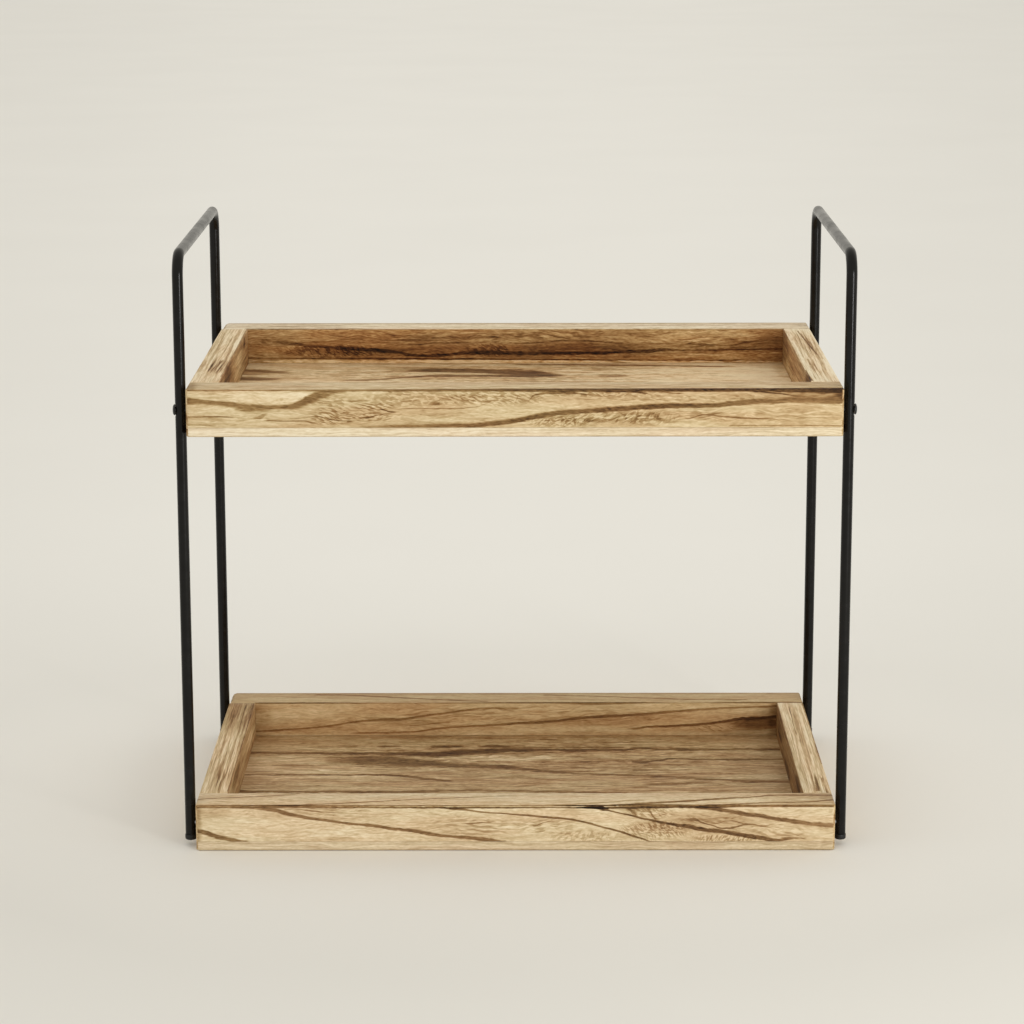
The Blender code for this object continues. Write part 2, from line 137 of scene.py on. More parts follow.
class Recipe:
    """A node tree that is written from code, for a material, a group or the world."""

    def __init__(self, tree: bpy.types.NodeTree) -> None:
        """Takes a tree and empties it."""
        self.tree = tree
        tree.nodes.clear()

    def node(self, kind: str, feeds: dict[int | str, Feed] | None = None,
             **options: object) -> bpy.types.Node:
        """Adds a node.

        Args:
            kind: The node's type name.
            feeds: Value or socket for each input, by name or number.
            **options: Settings of the node itself.

        Returns:
            The new node.
        """
        made = self.tree.nodes.new(kind)
        for name, option in options.items():
            setattr(made, name, option)
        for key, feed in (feeds or {}).items():
            if isinstance(feed, Socket):
                self.tree.links.new(feed, made.inputs[key])
            else:
                made.inputs[key].default_value = feed
        return made

    def math(self, operation: str, *terms: Feed, clamp: bool = False) -> Socket:
        """Adds a Math node.

        Args:
            operation: The node's operation.
            *terms: Its one to three inputs.
            clamp: Whether the result is kept within 0 and 1.

        Returns:
            The result.
        """
        made = self.node("ShaderNodeMath", dict(enumerate(terms)), operation=operation, use_clamp=clamp)
        return made.outputs[0]

    def coordinates(self) -> Socket:
        """Gives the object's own coordinates."""
        return self.node("ShaderNodeTexCoord").outputs["Object"]

    def fade(self, value: Feed, start: Feed, end: Feed, low: float = 0.0, high: float = 1.0) -> Socket:
        """Goes smoothly from low at start to high at end.

        Args:
            value: What is looked at.
            start: Where the fade starts.
            end: Where it ends.
            low: Result before start.
            high: Result after end.

        Returns:
            The faded value.
        """
        feeds = {0: value, 1: start, 2: end, 3: low, 4: high}
        return self.node("ShaderNodeMapRange", feeds, interpolation_type="SMOOTHSTEP").outputs[0]

    def share(self, value: Feed, start: float, end: float) -> Socket:
        """Gives where a value lies between start and end, as an unclamped share.

        Args:
            value: What is looked at.
            start: Share 0.
            end: Share 1.

        Returns:
            The share.
        """
        feeds = {0: value, 1: start, 2: end}
        return self.node("ShaderNodeMapRange", feeds, clamp=False).outputs[0]

    def vector(self, x: Feed, y: Feed, z: Feed) -> Socket:
        """Joins three numbers to a vector."""
        return self.node("ShaderNodeCombineXYZ", {0: x, 1: y, 2: z}).outputs[0]

    def split(self, vector: Socket) -> tuple[Socket, Socket, Socket]:
        """Splits a vector into its three numbers."""
        outputs = self.node("ShaderNodeSeparateXYZ", {0: vector}).outputs
        return outputs[0], outputs[1], outputs[2]

    def place(self, vector: Socket, scale: Triple, turn: float = 0.0,
              shift: Triple = (0.0, 0.0, 0.0)) -> Socket:
        """Turns a vector about Z, then measures it in units of scale from shift.

        Args:
            vector: The vector.
            scale: Size of one unit along each axis.
            turn: Turn of the pattern in degrees.
            shift: Middle of the pattern.

        Returns:
            The placed vector.
        """
        rotation = (0.0, 0.0, math.radians(turn))
        feeds = {"Vector": vector, "Scale": scale, "Rotation": rotation, "Location": shift}
        return self.node("ShaderNodeMapping", feeds, vector_type="TEXTURE").outputs[0]

    def noise(self, vector: Socket, detail: float = 2.0, rough: float = 0.5, twist: float = 0.0) -> Socket:
        """Adds a Noise Texture of scale 1 on an already scaled vector.

        Args:
            vector: Where it is read.
            detail: Octaves.
            rough: Weight of the finer octaves.
            twist: Distortion.

        Returns:
            The noise, about 0.5.
        """
        feeds = {"Vector": vector, "Scale": 1.0, "Detail": detail, "Roughness": rough, "Distortion": twist}
        return self.node("ShaderNodeTexNoise", feeds).outputs["Fac"]

    def away(self, vector: Socket) -> Socket:
        """Gives a vector's length."""
        return self.node("ShaderNodeVectorMath", {0: vector}, operation="LENGTH").outputs["Value"]

    def swing(self, noise: Socket, amount: Feed, middle: Feed) -> Socket:
        """Lets a value swing with a noise, which itself lies about 0.5.

        Args:
            noise: The noise.
            amount: How much of it is added.
            middle: The value where the noise is 0.5.

        Returns:
            The swung value.
        """
        return self.math("MULTIPLY_ADD", self.math("SUBTRACT", noise, 0.5), amount, middle)

    def ramp(self, value: Feed, stops: Stops) -> Socket:
        """Adds a Color Ramp.

        Args:
            value: Where on the ramp.
            stops: Position and screen colour of each stop.

        Returns:
            The colour.
        """
        made = self.node("ShaderNodeValToRGB", {0: value})
        stretch = made.color_ramp
        while len(stretch.elements) < len(stops):
            stretch.elements.new(0.5)
        for element, (position, colour) in zip(stretch.elements, stops):
            element.position = position
            element.color = srgb(*colour)
        return made.outputs["Color"]

    def blend(self, amount: Feed, first: Feed, second: Feed) -> Socket:
        """Mixes two colours.

        Args:
            amount: Share of the second.
            first: First colour.
            second: Second colour.

        Returns:
            The mixed colour.
        """
        return self.node("ShaderNodeMix", {0: amount, 6: first, 7: second}, data_type="RGBA").outputs[2]

    def bump(self, height: Socket, strength: float, distance: float) -> Socket:
        """Turns a height from 0 to 1 into a normal.

        Args:
            height: The height.
            strength: Share of it that is used.
            distance: Depth in metres.

        Returns:
            The normal.
        """
        feeds = {"Height": height, "Strength": strength, "Distance": distance}
        return self.node("ShaderNodeBump", feeds).outputs[0]

    def surface(self, **feeds: Feed) -> None:
        """Adds a Principled BSDF and the material's output.

        Args:
            **feeds: Its inputs, with underscores for the spaces in their names.
        """
        named = {name.replace("_", " "): feed for name, feed in feeds.items()}
        shader = self.node("ShaderNodeBsdfPrincipled", named)
        self.node("ShaderNodeOutputMaterial", {"Surface": shader.outputs[0]})


def new_material(name: str) -> tuple[bpy.types.Material, Recipe]:
    """Makes an empty material.

    Args:
        name: Its name.

    Returns:
        The material and its recipe.
    """
    material = bpy.data.materials.new(name)
    material.use_nodes = True
    return material, Recipe(material.node_tree)


@dataclass(frozen=True)
class Band:
    """A dark growth line on a face, in runs that follow each other along it without overlap.

    Attributes:
        runs: Rows of points, each (along, across, half width, darkness) in thousandths.
        under: How softly the lower edge ends, in half widths.
        over: The same for the upper edge.
        ragged: How far the fibres break both edges.
    """

    runs: tuple[tuple[Point, ...], ...]
    under: float = 0.5
    over: float = 0.5
    ragged: float = 0.7


@dataclass(frozen=True)
class ScorchAndShade:
    """A soft darker area of a face, or a paler one. Most are scorching; a few darker ones are painted shade,
    where marked.

    Attributes:
        centre: Its middle, in shares of the face.
        reach: Its half sizes, in shares of the face.
        strength: The char it adds, or takes away where negative.
    """

    centre: tuple[float, float]
    reach: tuple[float, float]
    strength: float


@dataclass(frozen=True)
class Strokes:
    """A field of short feathered strokes.

    Attributes:
        centre: Its middle, in shares of the face.
        reach: Its half sizes, in shares of the face.
        turn: Turn of the strokes from the grain, in degrees.
        darkness: The char of a stroke.
        length: Usual length of a stroke.
        pitch: Usual distance between strokes.
        fill: How much of the field they cover, from 0 to 1.
        twist: How much they curl.
    """

    centre: tuple[float, float]
    reach: tuple[float, float]
    turn: float
    darkness: float
    length: float = 0.007
    pitch: float = 0.0014
    fill: float = 0.5
    twist: float = 0.3


@dataclass(frozen=True)
class Patch:
    """The grain of one face.

    Attributes:
        face: The face.
        base: Char of the pale wood.
        mottle: How much the char varies.
        ember: How red the scorching is, or how grey the wood where negative.
        bands: Its growth lines.
        scorches_and_shade: Its soft areas.
        strokes: Its fields of strokes.
        along: Span that the shares along the face run over, or None for the whole board.
        across: The same for the shares across it.
        contrast: Strength of its fibres, as a multiple of the board's.
    """

    face: Face
    base: float = 0.16
    mottle: float = 0.10
    ember: float = 0.0
    bands: tuple[Band, ...] = ()
    scorches_and_shade: tuple[ScorchAndShade, ...] = ()
    strokes: tuple[Strokes, ...] = ()
    along: tuple[float, float] | None = None
    across: tuple[float, float] | None = None
    contrast: float = 1.0


def growth_line_group() -> bpy.types.NodeTree:
    """Makes the node group that lays one growth line over the char so far."""
    group = bpy.data.node_groups.new("growth line", "ShaderNodeTree")
    for name in ("Char", "Across", "Route", "Width", "Dark", "Fibre", "Under", "Over", "Ragged"):
        group.interface.new_socket(name, in_out="INPUT", socket_type="NodeSocketFloat")
    group.interface.new_socket("Char", in_out="OUTPUT", socket_type="NodeSocketFloat")
    recipe = Recipe(group)
    given = recipe.node("NodeGroupInput").outputs
    # A route holds (middle + 0.5) / 2, because a curve's values lie from 0 to 1
    centre = recipe.math("MULTIPLY_ADD", given["Route"], 2.0, -0.5)
    reach = recipe.math("DIVIDE", recipe.math("SUBTRACT", given["Across"], centre),
                        recipe.math("MAXIMUM", given["Width"], 0.004))
    torn = recipe.swing(given["Fibre"], recipe.math("MULTIPLY", given["Ragged"], 3.4), reach)
    lower = recipe.fade(torn, recipe.math("SUBTRACT", -1.0, given["Under"]), -0.7)
    upper = recipe.fade(torn, recipe.math("ADD", 1.0, given["Over"]), 0.7)
    streak = recipe.swing(given["Fibre"], -0.9, 1.0)
    mark = recipe.math("MULTIPLY", recipe.math("MULTIPLY", lower, upper),
                       recipe.math("MULTIPLY", given["Dark"], streak), clamp=True)
    rest = recipe.math("SUBTRACT", 1.0, given["Char"])
    recipe.node("NodeGroupOutput", {"Char": recipe.math("MULTIPLY_ADD", mark, rest, given["Char"])})
    return group


@dataclass(frozen=True)
class TorchedWood:
    """Softwood that was torched and brushed, with the grain of each seen face drawn by its patch.

    Attributes:
        node: The board's CAD node, whose box gives the faces.
        grain: The axis that the fibres run along.
        patches: The faces with a known grain.
        seed: Shift of the noises, so that no two boards match.
        lines: Growth lines across a face that the picture doesn't show.
        plain: Char of such a face.
        stretch: Length of the fibres, as a multiple of the usual.
        contrast: Strength of the fibres, as a multiple of the usual.
        tones: Colours of brushed wood from no char to full char.
        embers: Colours of reddened wood from no char to full char.
        sway: Length and thickness of the waves that the fibres follow.
        sway_reach: How far the waves push the fibres.
        fibre: Length and thickness of a fibre, with its strength.
        fine: The same for the finest fibres.
        thread: The same for the longest fibres.
        pore: The same for the dark pores.
        cloud: Length and thickness of the broad changes in tone.
        relief: Height of the brushed grain.
        skin: Depth from a face over which its patch takes over.
    """

    node: str
    grain: Axis
    patches: tuple[Patch, ...]
    seed: float
    lines: float = 3.0
    plain: float = 0.22
    stretch: float = 1.0
    contrast: float = 1.0
    tones: Stops = (
        (0.00, (236, 220, 187)), (0.12, (221, 200, 161)), (0.25, (202, 178, 136)), (0.40, (178, 151, 107)),
        (0.55, (151, 119, 75)), (0.70, (122, 91, 52)), (0.85, (82, 56, 28)), (1.00, (26, 14, 4)))
    embers: Stops = (
        (0.00, (231, 200, 149)), (0.12, (211, 172, 116)), (0.25, (186, 143, 86)), (0.40, (158, 112, 61)),
        (0.55, (130, 86, 42)), (0.70, (99, 60, 26)), (0.85, (63, 34, 12)), (1.00, (22, 11, 4)))
    sway: tuple[float, float] = (0.022, 0.007)
    sway_reach: float = 0.0055
    fibre: Triple = (0.014, 0.0011, 0.46)
    fine: Triple = (0.0030, 0.0006, 0.38)
    thread: Triple = (0.075, 0.0012, 0.24)
    pore: Triple = (0.008, 0.0008, 0.12)
    cloud: tuple[float, float] = (0.060, 0.008)
    relief: float = 0.00025
    skin: float = 0.0006

    def material(self, lines: bpy.types.NodeTree) -> bpy.types.Material:
        """Writes the material.

        Args:
            lines: The growth line group.

        Returns:
            The material.
        """
        material, recipe = new_material(f"{self.node} wood")
        low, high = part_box(self.node)
        place = recipe.split(recipe.coordinates())
        rest = self.across_grain()
        wood = recipe.vector(place[self.grain.value], place[rest[0].value], place[rest[1].value])
        feeds = {"Vector": self.cells(recipe, wood, self.sway), "Scale": 1.0, "Detail": 1.0}
        waves = recipe.node("ShaderNodeTexNoise", feeds).outputs["Color"]
        push = self.sway_reach / self.stretch
        feeds = {0: waves, 1: (0.0, push, push), 2: wood}
        swayed = recipe.node("ShaderNodeVectorMath", feeds, operation="MULTIPLY_ADD").outputs[0]
        fibre = recipe.noise(self.cells(recipe, swayed, self.fibre), 2.0, 0.6)
        fine = recipe.noise(self.cells(recipe, swayed, self.fine), 1.0, 0.5)
        pores = recipe.noise(self.cells(recipe, swayed, self.pore, moved=False), 1.0, 0.5)
        threads = recipe.noise(self.cells(recipe, swayed, self.thread), 1.0, 0.5)
        long, thick = self.cloud
        broad = recipe.noise(recipe.place(wood, (long, thick, thick), shift=self.shift()), 2.0, 0.5)
        char = self.plain_faces(recipe, wood, broad)
        ember: Feed = 0.15
        strength: Feed = self.contrast
        for patch in self.patches:
            axis, end = patch.face.value
            wall = (low, high)[end][axis.value]
            inward = self.skin if end == 0 else -self.skin
            mask = recipe.fade(place[axis.value], wall + inward, wall + inward / 3)
            drawn = self.drawn_face(recipe, patch, place, swayed, (fibre, broad), lines)
            char = recipe.math("MULTIPLY_ADD", mask, recipe.math("SUBTRACT", drawn, char), char)
            ember = recipe.math("MULTIPLY_ADD", mask, recipe.math("SUBTRACT", patch.ember, ember), ember)
            change = recipe.math("SUBTRACT", patch.contrast * self.contrast, strength)
            strength = recipe.math("MULTIPLY_ADD", mask, change, strength)
        streaks = recipe.swing(fibre, self.fibre[2], recipe.fade(pores, 0.59, 0.69, 0.0, self.pore[2]))
        streaks = recipe.swing(fine, self.fine[2], streaks)
        streaks = recipe.swing(threads, self.thread[2], streaks)
        grained = recipe.math("MULTIPLY_ADD", streaks, strength, char)
        glow = recipe.math("MULTIPLY_ADD", recipe.fade(broad, 0.35, 0.65), 0.25, ember, clamp=True)
        colour = recipe.blend(glow, recipe.ramp(grained, self.tones), recipe.ramp(grained, self.embers))
        hue = recipe.fade(broad, 0.3, 0.7, 0.503, 0.497)
        rich = recipe.math("MINIMUM", recipe.math("ADD", 1.0, ember), 1.0)
        feeds = {"Hue": hue, "Saturation": rich, "Color": colour}
        tinted = recipe.node("ShaderNodeHueSaturation", feeds).outputs[0]
        height = recipe.math("MULTIPLY_ADD", char, -0.7, recipe.math("MULTIPLY_ADD", fine, 0.5, fibre))
        rough = recipe.fade(char, 0.1, 0.9, 0.58, 0.72)
        recipe.surface(Base_Color=tinted, Roughness=rough, Specular_IOR_Level=0.18,
                       Normal=recipe.bump(height, 0.35, self.relief))
        return material

    def across_grain(self) -> list[Axis]:
        """Gives the two axes across the grain."""
        return [axis for axis in Axis if axis is not self.grain]

    def shift(self) -> Triple:
        """Gives the shift of the board's noises."""
        return (self.seed, self.seed * 0.31, self.seed * 0.17)

    def cells(self, recipe: Recipe, place: Socket, cell: tuple[float, ...], moved: bool = True) -> Socket:
        """Measures a place in cells that are long along the grain.

        Args:
            recipe: The material's recipe.
            place: The place with the grain's axis first.
            cell: Length and thickness of a cell.
            moved: Whether the board's shift moves them.

        Returns:
            The measured place.
        """
        size = (cell[0] * self.stretch, cell[1], cell[1])
        return recipe.place(place, size, shift=self.shift() if moved else (0.0, 0.0, 0.0))

    def plain_faces(self, recipe: Recipe, wood: Socket, broad: Socket) -> Socket:
        """Gives the char of the faces without a patch: bowed growth lines, and rings on the sawn ends.

        Args:
            recipe: The material's recipe.
            wood: The place with the grain's axis first.
            broad: The broad tone noise.

        Returns:
            The char.
        """
        low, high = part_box(self.node)
        rest = self.across_grain()
        wide = max(high[axis.value] - low[axis.value] for axis in rest)
        pitch = max(wide / (self.lines + 1.0), 0.004)
        bow = recipe.noise(recipe.place(wood, (0.16, 0.05, 0.05), shift=(self.seed, 0.0, 0.0)), 1.5, 0.4)
        pith = (-0.4 * wide + self.seed % 0.01, -0.035)
        across = recipe.place(wood, (1.0e3, 1.0, 1.0), shift=(0.0, pith[0], low[rest[1].value] + pith[1]))
        radius = recipe.away(across)
        count = recipe.math("MULTIPLY_ADD", bow, 5.0, recipe.math("MULTIPLY", radius, 1.0 / pitch))
        phase = recipe.math("FRACT", count)
        late = recipe.math("MULTIPLY", recipe.fade(phase, 0.35, 0.92), recipe.fade(phase, 1.0, 0.94))
        strength = recipe.fade(broad, 0.35, 0.68, 0.10, 0.55)
        return recipe.math("MULTIPLY_ADD", late, strength, self.plain)

    def drawn_face(self, recipe: Recipe, patch: Patch, place: tuple[Socket, ...], swayed: Socket,
                   noises: tuple[Socket, Socket], lines: bpy.types.NodeTree) -> Socket:
        """Gives the char of one face from its patch.

        Args:
            recipe: The material's recipe.
            patch: The face's grain.
            place: The three coordinates.
            swayed: The place with the grain's axis first, swayed as the fibres are.
            noises: The fibre noise and the broad tone noise.
            lines: The growth line group.

        Returns:
            The char.
        """
        fibre, broad = noises
        low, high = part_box(self.node)
        axis = patch.face.value[0]
        rest = [other for other in Axis if other not in (axis, self.grain)]
        first = self.grain if axis is not self.grain else rest[0]
        second = rest[-1]
        span_u = patch.along or (low[first.value], high[first.value])
        span_v = patch.across or (low[second.value], high[second.value])
        u = recipe.share(place[first.value], *span_u)
        v = recipe.share(place[second.value], *span_v)
        parts = recipe.split(swayed)
        if first is self.grain:
            spot = (parts[0], parts[1 + self.across_grain().index(second)])
        else:
            spot = (place[first.value], place[second.value])
        plane = recipe.vector(*spot, self.seed)
        shares = recipe.vector(u, v, 0.0)
        ripple = recipe.noise(recipe.place(plane, (0.012 * self.stretch, 0.0028, 1.0)), 2.0, 0.55, 0.4)
        char = recipe.swing(broad, patch.mottle * 1.6, patch.base)
        char = recipe.math("MULTIPLY_ADD", recipe.fade(ripple, 0.45, 0.75), patch.mottle, char)
        for scorch_and_shade in patch.scorches_and_shade:
            mask = self.region(recipe, shares, scorch_and_shade.centre, scorch_and_shade.reach, fibre)
            char = recipe.math("MULTIPLY_ADD", mask, scorch_and_shade.strength, char)
        for strokes in patch.strokes:
            mask = self.region(recipe, shares, strokes.centre, strokes.reach, fibre)
            size = (strokes.length, strokes.pitch, 1.0)
            feather = recipe.noise(recipe.place(plane, size, strokes.turn), 1.5, 0.5, strokes.twist)
            edge = 0.60 - 0.20 * strokes.fill
            feathered = recipe.fade(feather, edge, edge + 0.11, 0.0, strokes.darkness)
            char = recipe.math("ADD", char, recipe.math("MULTIPLY", mask, feathered))
        char = recipe.math("MAXIMUM", char, 0.0)
        wobble = recipe.swing(ripple, 0.035, v)
        feather = recipe.noise(recipe.place(plane, (0.0045 * self.stretch, 0.0010, 1.0), -14.0), 1.0, 0.5)
        torn = recipe.math("ADD", recipe.math("MULTIPLY", fibre, 0.5), recipe.math("MULTIPLY", feather, 0.5))
        for band in patch.bands:
            route = self.route(recipe, band, u)
            middle, half, dark = recipe.node("ShaderNodeSeparateColor", {0: route}).outputs
            feeds = {"Char": char, "Across": wobble, "Route": middle, "Width": half, "Dark": dark,
                     "Fibre": torn, "Under": band.under, "Over": band.over, "Ragged": band.ragged}
            char = recipe.node("ShaderNodeGroup", feeds, node_tree=lines).outputs[0]
        return char

    def region(self, recipe: Recipe, shares: Socket, centre: tuple[float, float], reach: tuple[float, float],
               fibre: Socket) -> Socket:
        """Gives a soft oval mask with a fibrous edge.

        Args:
            recipe: The material's recipe.
            shares: The face's shares as a vector.
            centre: Middle of the oval.
            reach: Its half sizes.
            fibre: The fibre noise.

        Returns:
            The mask.
        """
        inside = recipe.place(shares, (*reach, 1.0), shift=(*centre, 0.0))
        torn = recipe.swing(fibre, 0.9, recipe.away(inside))
        return recipe.fade(torn, 1.0, 0.45)

    def route(self, recipe: Recipe, band: Band, u: Socket) -> Socket:
        """Reads a band's middle, half width and darkness along the face.

        Args:
            recipe: The material's recipe.
            band: The band.
            u: Share along the face.

        Returns:
            A colour with the three numbers in it.
        """
        curves = recipe.node("ShaderNodeRGBCurve", {"Color": recipe.vector(u, u, u)})
        tables: tuple[list, list, list] = ([], [], [])
        for run in band.runs:
            # The darkness falls to nothing just outside the run
            points = [tuple(value / 1000 for value in point) for point in run]
            if points[0][0] > 0.0:
                points.insert(0, (points[0][0] - 0.006, *points[0][1:3], 0.0))
            if points[-1][0] < 1.0:
                points.append((points[-1][0] + 0.006, *points[-1][1:3], 0.0))
            for place, middle, half, dark in points:
                for table, value in zip(tables, ((middle + 0.5) / 2, half, dark)):
                    table.append((min(max(place, 0.0), 1.0), value))
        for curve, table in zip(curves.mapping.curves, tables):
            while len(curve.points) < len(table):
                curve.points.new(0.5, 0.5)
            for point, spot in zip(curve.points, table):
                point.location = spot
                point.handle_type = "AUTO_CLAMPED"
        curves.mapping.update()
        return curves.outputs[0]


def long_cell(along: Axis, thick: float, long: float) -> Triple:
    """Gives the size of a noise cell that is long along one axis.

    Args:
        along: That axis.
        thick: Its size along the others.
        long: Its size along that axis.

    Returns:
        The size.
    """
    x, y, z = (long if axis is along else thick for axis in Axis)
    return x, y, z


@dataclass(frozen=True)
class Timber:
    """A plain turned wood without a drawn grain.

    Attributes:
        name: The material's name.
        pale: Screen colour of its pale fibres.
        dark: Screen colour of its dark fibres.
        grain: The axis that the fibres run along.
        roughness: Its roughness.
    """

    name: str
    pale: Colour
    dark: Colour
    grain: Axis
    roughness: float = 0.6

    def material(self) -> bpy.types.Material:
        """Writes the material."""
        material, recipe = new_material(self.name)
        place = recipe.coordinates()
        fibre = recipe.noise(recipe.place(place, long_cell(self.grain, 0.0006, 0.02)), 3.0, 0.6)
        fleck = recipe.noise(recipe.place(place, (0.0015, 0.0015, 0.0015)), 2.0, 0.5)
        mixed = recipe.math("MULTIPLY_ADD", fleck, 0.3, recipe.math("MULTIPLY", fibre, 0.8))
        colour = recipe.ramp(mixed, ((0.3, self.pale), (0.75, self.dark)))
        recipe.surface(Base_Color=colour, Roughness=self.roughness, Normal=recipe.bump(fibre, 0.3, 0.0002))
        return material


@dataclass(frozen=True)
class Coating:
    """A black finish: powder coat, blackened zinc or moulded plastic.

    Attributes:
        name: The material's name.
        colour: Screen colour.
        roughness: Mean roughness.
        peel: Size of the surface's ripple.
        depth: Depth of the ripple.
        metallic: 1 for a metal.
        specular: Strength of the mirrored light, 0.5 being usual.
    """

    name: str
    colour: Colour
    roughness: float
    peel: float
    depth: float
    metallic: float = 0.0
    specular: float = 0.5

    def material(self) -> bpy.types.Material:
        """Writes the material."""
        material, recipe = new_material(self.name)
        place = recipe.coordinates()
        ripple = recipe.noise(recipe.place(place, (self.peel,) * 3), 2.0, 0.5)
        scuff = recipe.noise(recipe.place(place, (0.02, 0.02, 0.006)), 3.0, 0.6)
        dull = recipe.fade(scuff, 0.3, 0.75, self.roughness - 0.05, self.roughness + 0.09)
        paler = tuple(c + 9 for c in self.colour)
        colour = recipe.ramp(scuff, ((0.35, self.colour), (0.8, paler)))
        recipe.surface(Base_Color=colour, Roughness=dull, Metallic=self.metallic,
                       Specular_IOR_Level=self.specular, Normal=recipe.bump(ripple, 0.4, self.depth))
        return material


@dataclass(frozen=True)
class BrightSteel:
    """Bare or zinc plated steel, turned or drawn along an axis.

    Attributes:
        name: The material's name.
        colour: Screen colour.
        roughness: Mean roughness.
        drawn: The axis that the fine lines run along.
    """

    name: str
    colour: Colour
    roughness: float
    drawn: Axis

    def material(self) -> bpy.types.Material:
        """Writes the material."""
        material, recipe = new_material(self.name)
        place = recipe.coordinates()
        lines = recipe.noise(recipe.place(place, long_cell(self.drawn, 0.0002, 0.004)), 2.0, 0.6)
        cloud = recipe.noise(recipe.place(place, (0.0012,) * 3), 2.0, 0.5)
        darker = tuple(c * 0.72 for c in self.colour)
        colour = recipe.ramp(cloud, ((0.3, self.colour), (0.8, darker)))
        rough = recipe.fade(lines, 0.3, 0.7, self.roughness - 0.07, self.roughness + 0.1)
        recipe.surface(Base_Color=colour, Metallic=1.0, Roughness=rough,
                       Normal=recipe.bump(lines, 0.25, 0.00003))
        return material


class Workpiece:
    """A mesh that is shaped with edit operators, like a piece in a vice."""

    def __init__(self, name: str, start: Primitive) -> None:
        """Adds a primitive, applies its place and names it.

        Args:
            name: The piece's name.
            start: Adds the primitive.
        """
        self.let_go()
        start()
        self.shape = bpy.context.object
        self.shape.name = name
        self.shape.data.name = name
        bpy.ops.object.transform_apply(location=True, rotation=True, scale=True)

    @staticmethod
    def let_go() -> None:
        """Leaves edit mode and deselects everything."""
        if bpy.context.object and bpy.context.object.mode != "OBJECT":
            bpy.ops.object.mode_set(mode="OBJECT")
        bpy.ops.object.select_all(action="DESELECT")

    def hold(self) -> None:
        """Makes this piece the only selected one, and the active one."""
        self.let_go()
        self.shape.select_set(True)
        bpy.context.view_layer.objects.active = self.shape

    def open(self) -> None:
        """Enters edit mode on this piece."""
        self.hold()
        bpy.ops.object.mode_set(mode="EDIT")

    def close(self) -> None:
        """Leaves edit mode."""
        bpy.ops.object.mode_set(mode="OBJECT")

    def pick(self, kind: str, wanted: Callable[[object], bool]) -> int:
        """Selects the mesh's parts that pass a test, and nothing else.

        Args:
            kind: VERT, EDGE or FACE.
            wanted: The test.

        Returns:
            How many parts were selected.
        """
        bpy.ops.mesh.select_mode(type=kind)
        bpy.ops.mesh.select_all(action="DESELECT")
        mesh = bmesh.from_edit_mesh(self.shape.data)
        parts = {"VERT": mesh.verts, "EDGE": mesh.edges, "FACE": mesh.faces}[kind]
        found = [part for part in parts if wanted(part)]
        for part in found:
            part.select_set(True)
        mesh.select_flush_mode()
        bmesh.update_edit_mesh(self.shape.data)
        return len(found)

    def everything(self) -> None:
        """Selects the whole mesh."""
        bpy.ops.mesh.select_all(action="SELECT")

    def round_off(self, radius: float, segments: int, wanted: Callable[[Vector], bool]) -> None:
        """Rounds each sharp edge whose ends both pass a test.

        Args:
            radius: The rounding's radius.
            segments: Its facets.
            wanted: The test on a point.
        """
        limit = math.radians(35.0)
        if self.pick("EDGE", lambda edge: edge.is_manifold and edge.calc_face_angle(0.0) > limit
                     and all(wanted(end.co) for end in edge.verts)):
            bpy.ops.mesh.bevel(offset=radius, segments=segments, affect="EDGES", clamp_overlap=True)

    def weigh(self, amount: float, wanted: Callable[[Vector], bool]) -> None:
        """Sets how much of the next weighted rounding some edges get.

        Args:
            amount: Share of its radius.
            wanted: The test on a point, which both ends of an edge pass.
        """
        if self.pick("EDGE", lambda edge: all(wanted(end.co) for end in edge.verts)):
            bpy.ops.transform.edge_bevelweight(value=amount)

    def round_by_weight(self, radius: float, segments: int) -> None:
        """Rounds the weighed edges, in edit mode.

        Args:
            radius: Radius of an edge with weight 1.
            segments: Facets of the rounding.
        """
        self.close()
        rounding = self.shape.modifiers.new("rounding", "BEVEL")
        rounding.width, rounding.segments, rounding.limit_method = radius, segments, "WEIGHT"
        bpy.ops.object.modifier_apply(modifier=rounding.name)
        self.open()

    def tidy(self) -> None:
        """Merges doubles and turns all faces outwards."""
        self.everything()
        bpy.ops.mesh.remove_doubles(threshold=DOUBLE)
        bpy.ops.mesh.normals_make_consistent(inside=False)

    def bore(self, tools: list[Primitive]) -> None:
        """Cuts the piece with closed shapes.

        Args:
            tools: Each adds one cutting primitive.
        """
        for tool in tools:
            cutter = Workpiece("cutter", tool)
            self.hold()
            cut = self.shape.modifiers.new("bore", "BOOLEAN")
            cut.operation = "DIFFERENCE"
            cut.solver = "EXACT"
            cut.object = cutter.shape
            bpy.ops.object.modifier_apply(modifier=cut.name)
            bpy.data.objects.remove(cutter.shape, do_unlink=True)

    def finish(self, material: bpy.types.Material, slot: str, node: str, angle: float = 32.0) -> None:
        """Shades the piece, dresses it, and puts it in its node's place.

        Args:
            material: Its material.
            slot: Not used.
            node: The CAD node that it stands for.
            angle: Sharpest angle that is shaded smooth, in degrees.
        """
        self.hold()
        bpy.ops.object.shade_smooth_by_angle(angle=math.radians(angle))
        self.shape.data.materials.clear()
        self.shape.data.materials.append(material)
        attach(self.shape, "root")
        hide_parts(node)
        log.info("%s: %d faces", self.shape.name, len(self.shape.data.polygons))

    def copy(self, name: str) -> "Workpiece":
        """Copies the piece with its own mesh.

        Args:
            name: The copy's name.

        Returns:
            The copy.
        """
        self.hold()
        bpy.ops.object.duplicate(linked=False)
        made = object.__new__(Workpiece)
        made.shape = bpy.context.object
        made.shape.name = name
        made.shape.data.name = name
        return made

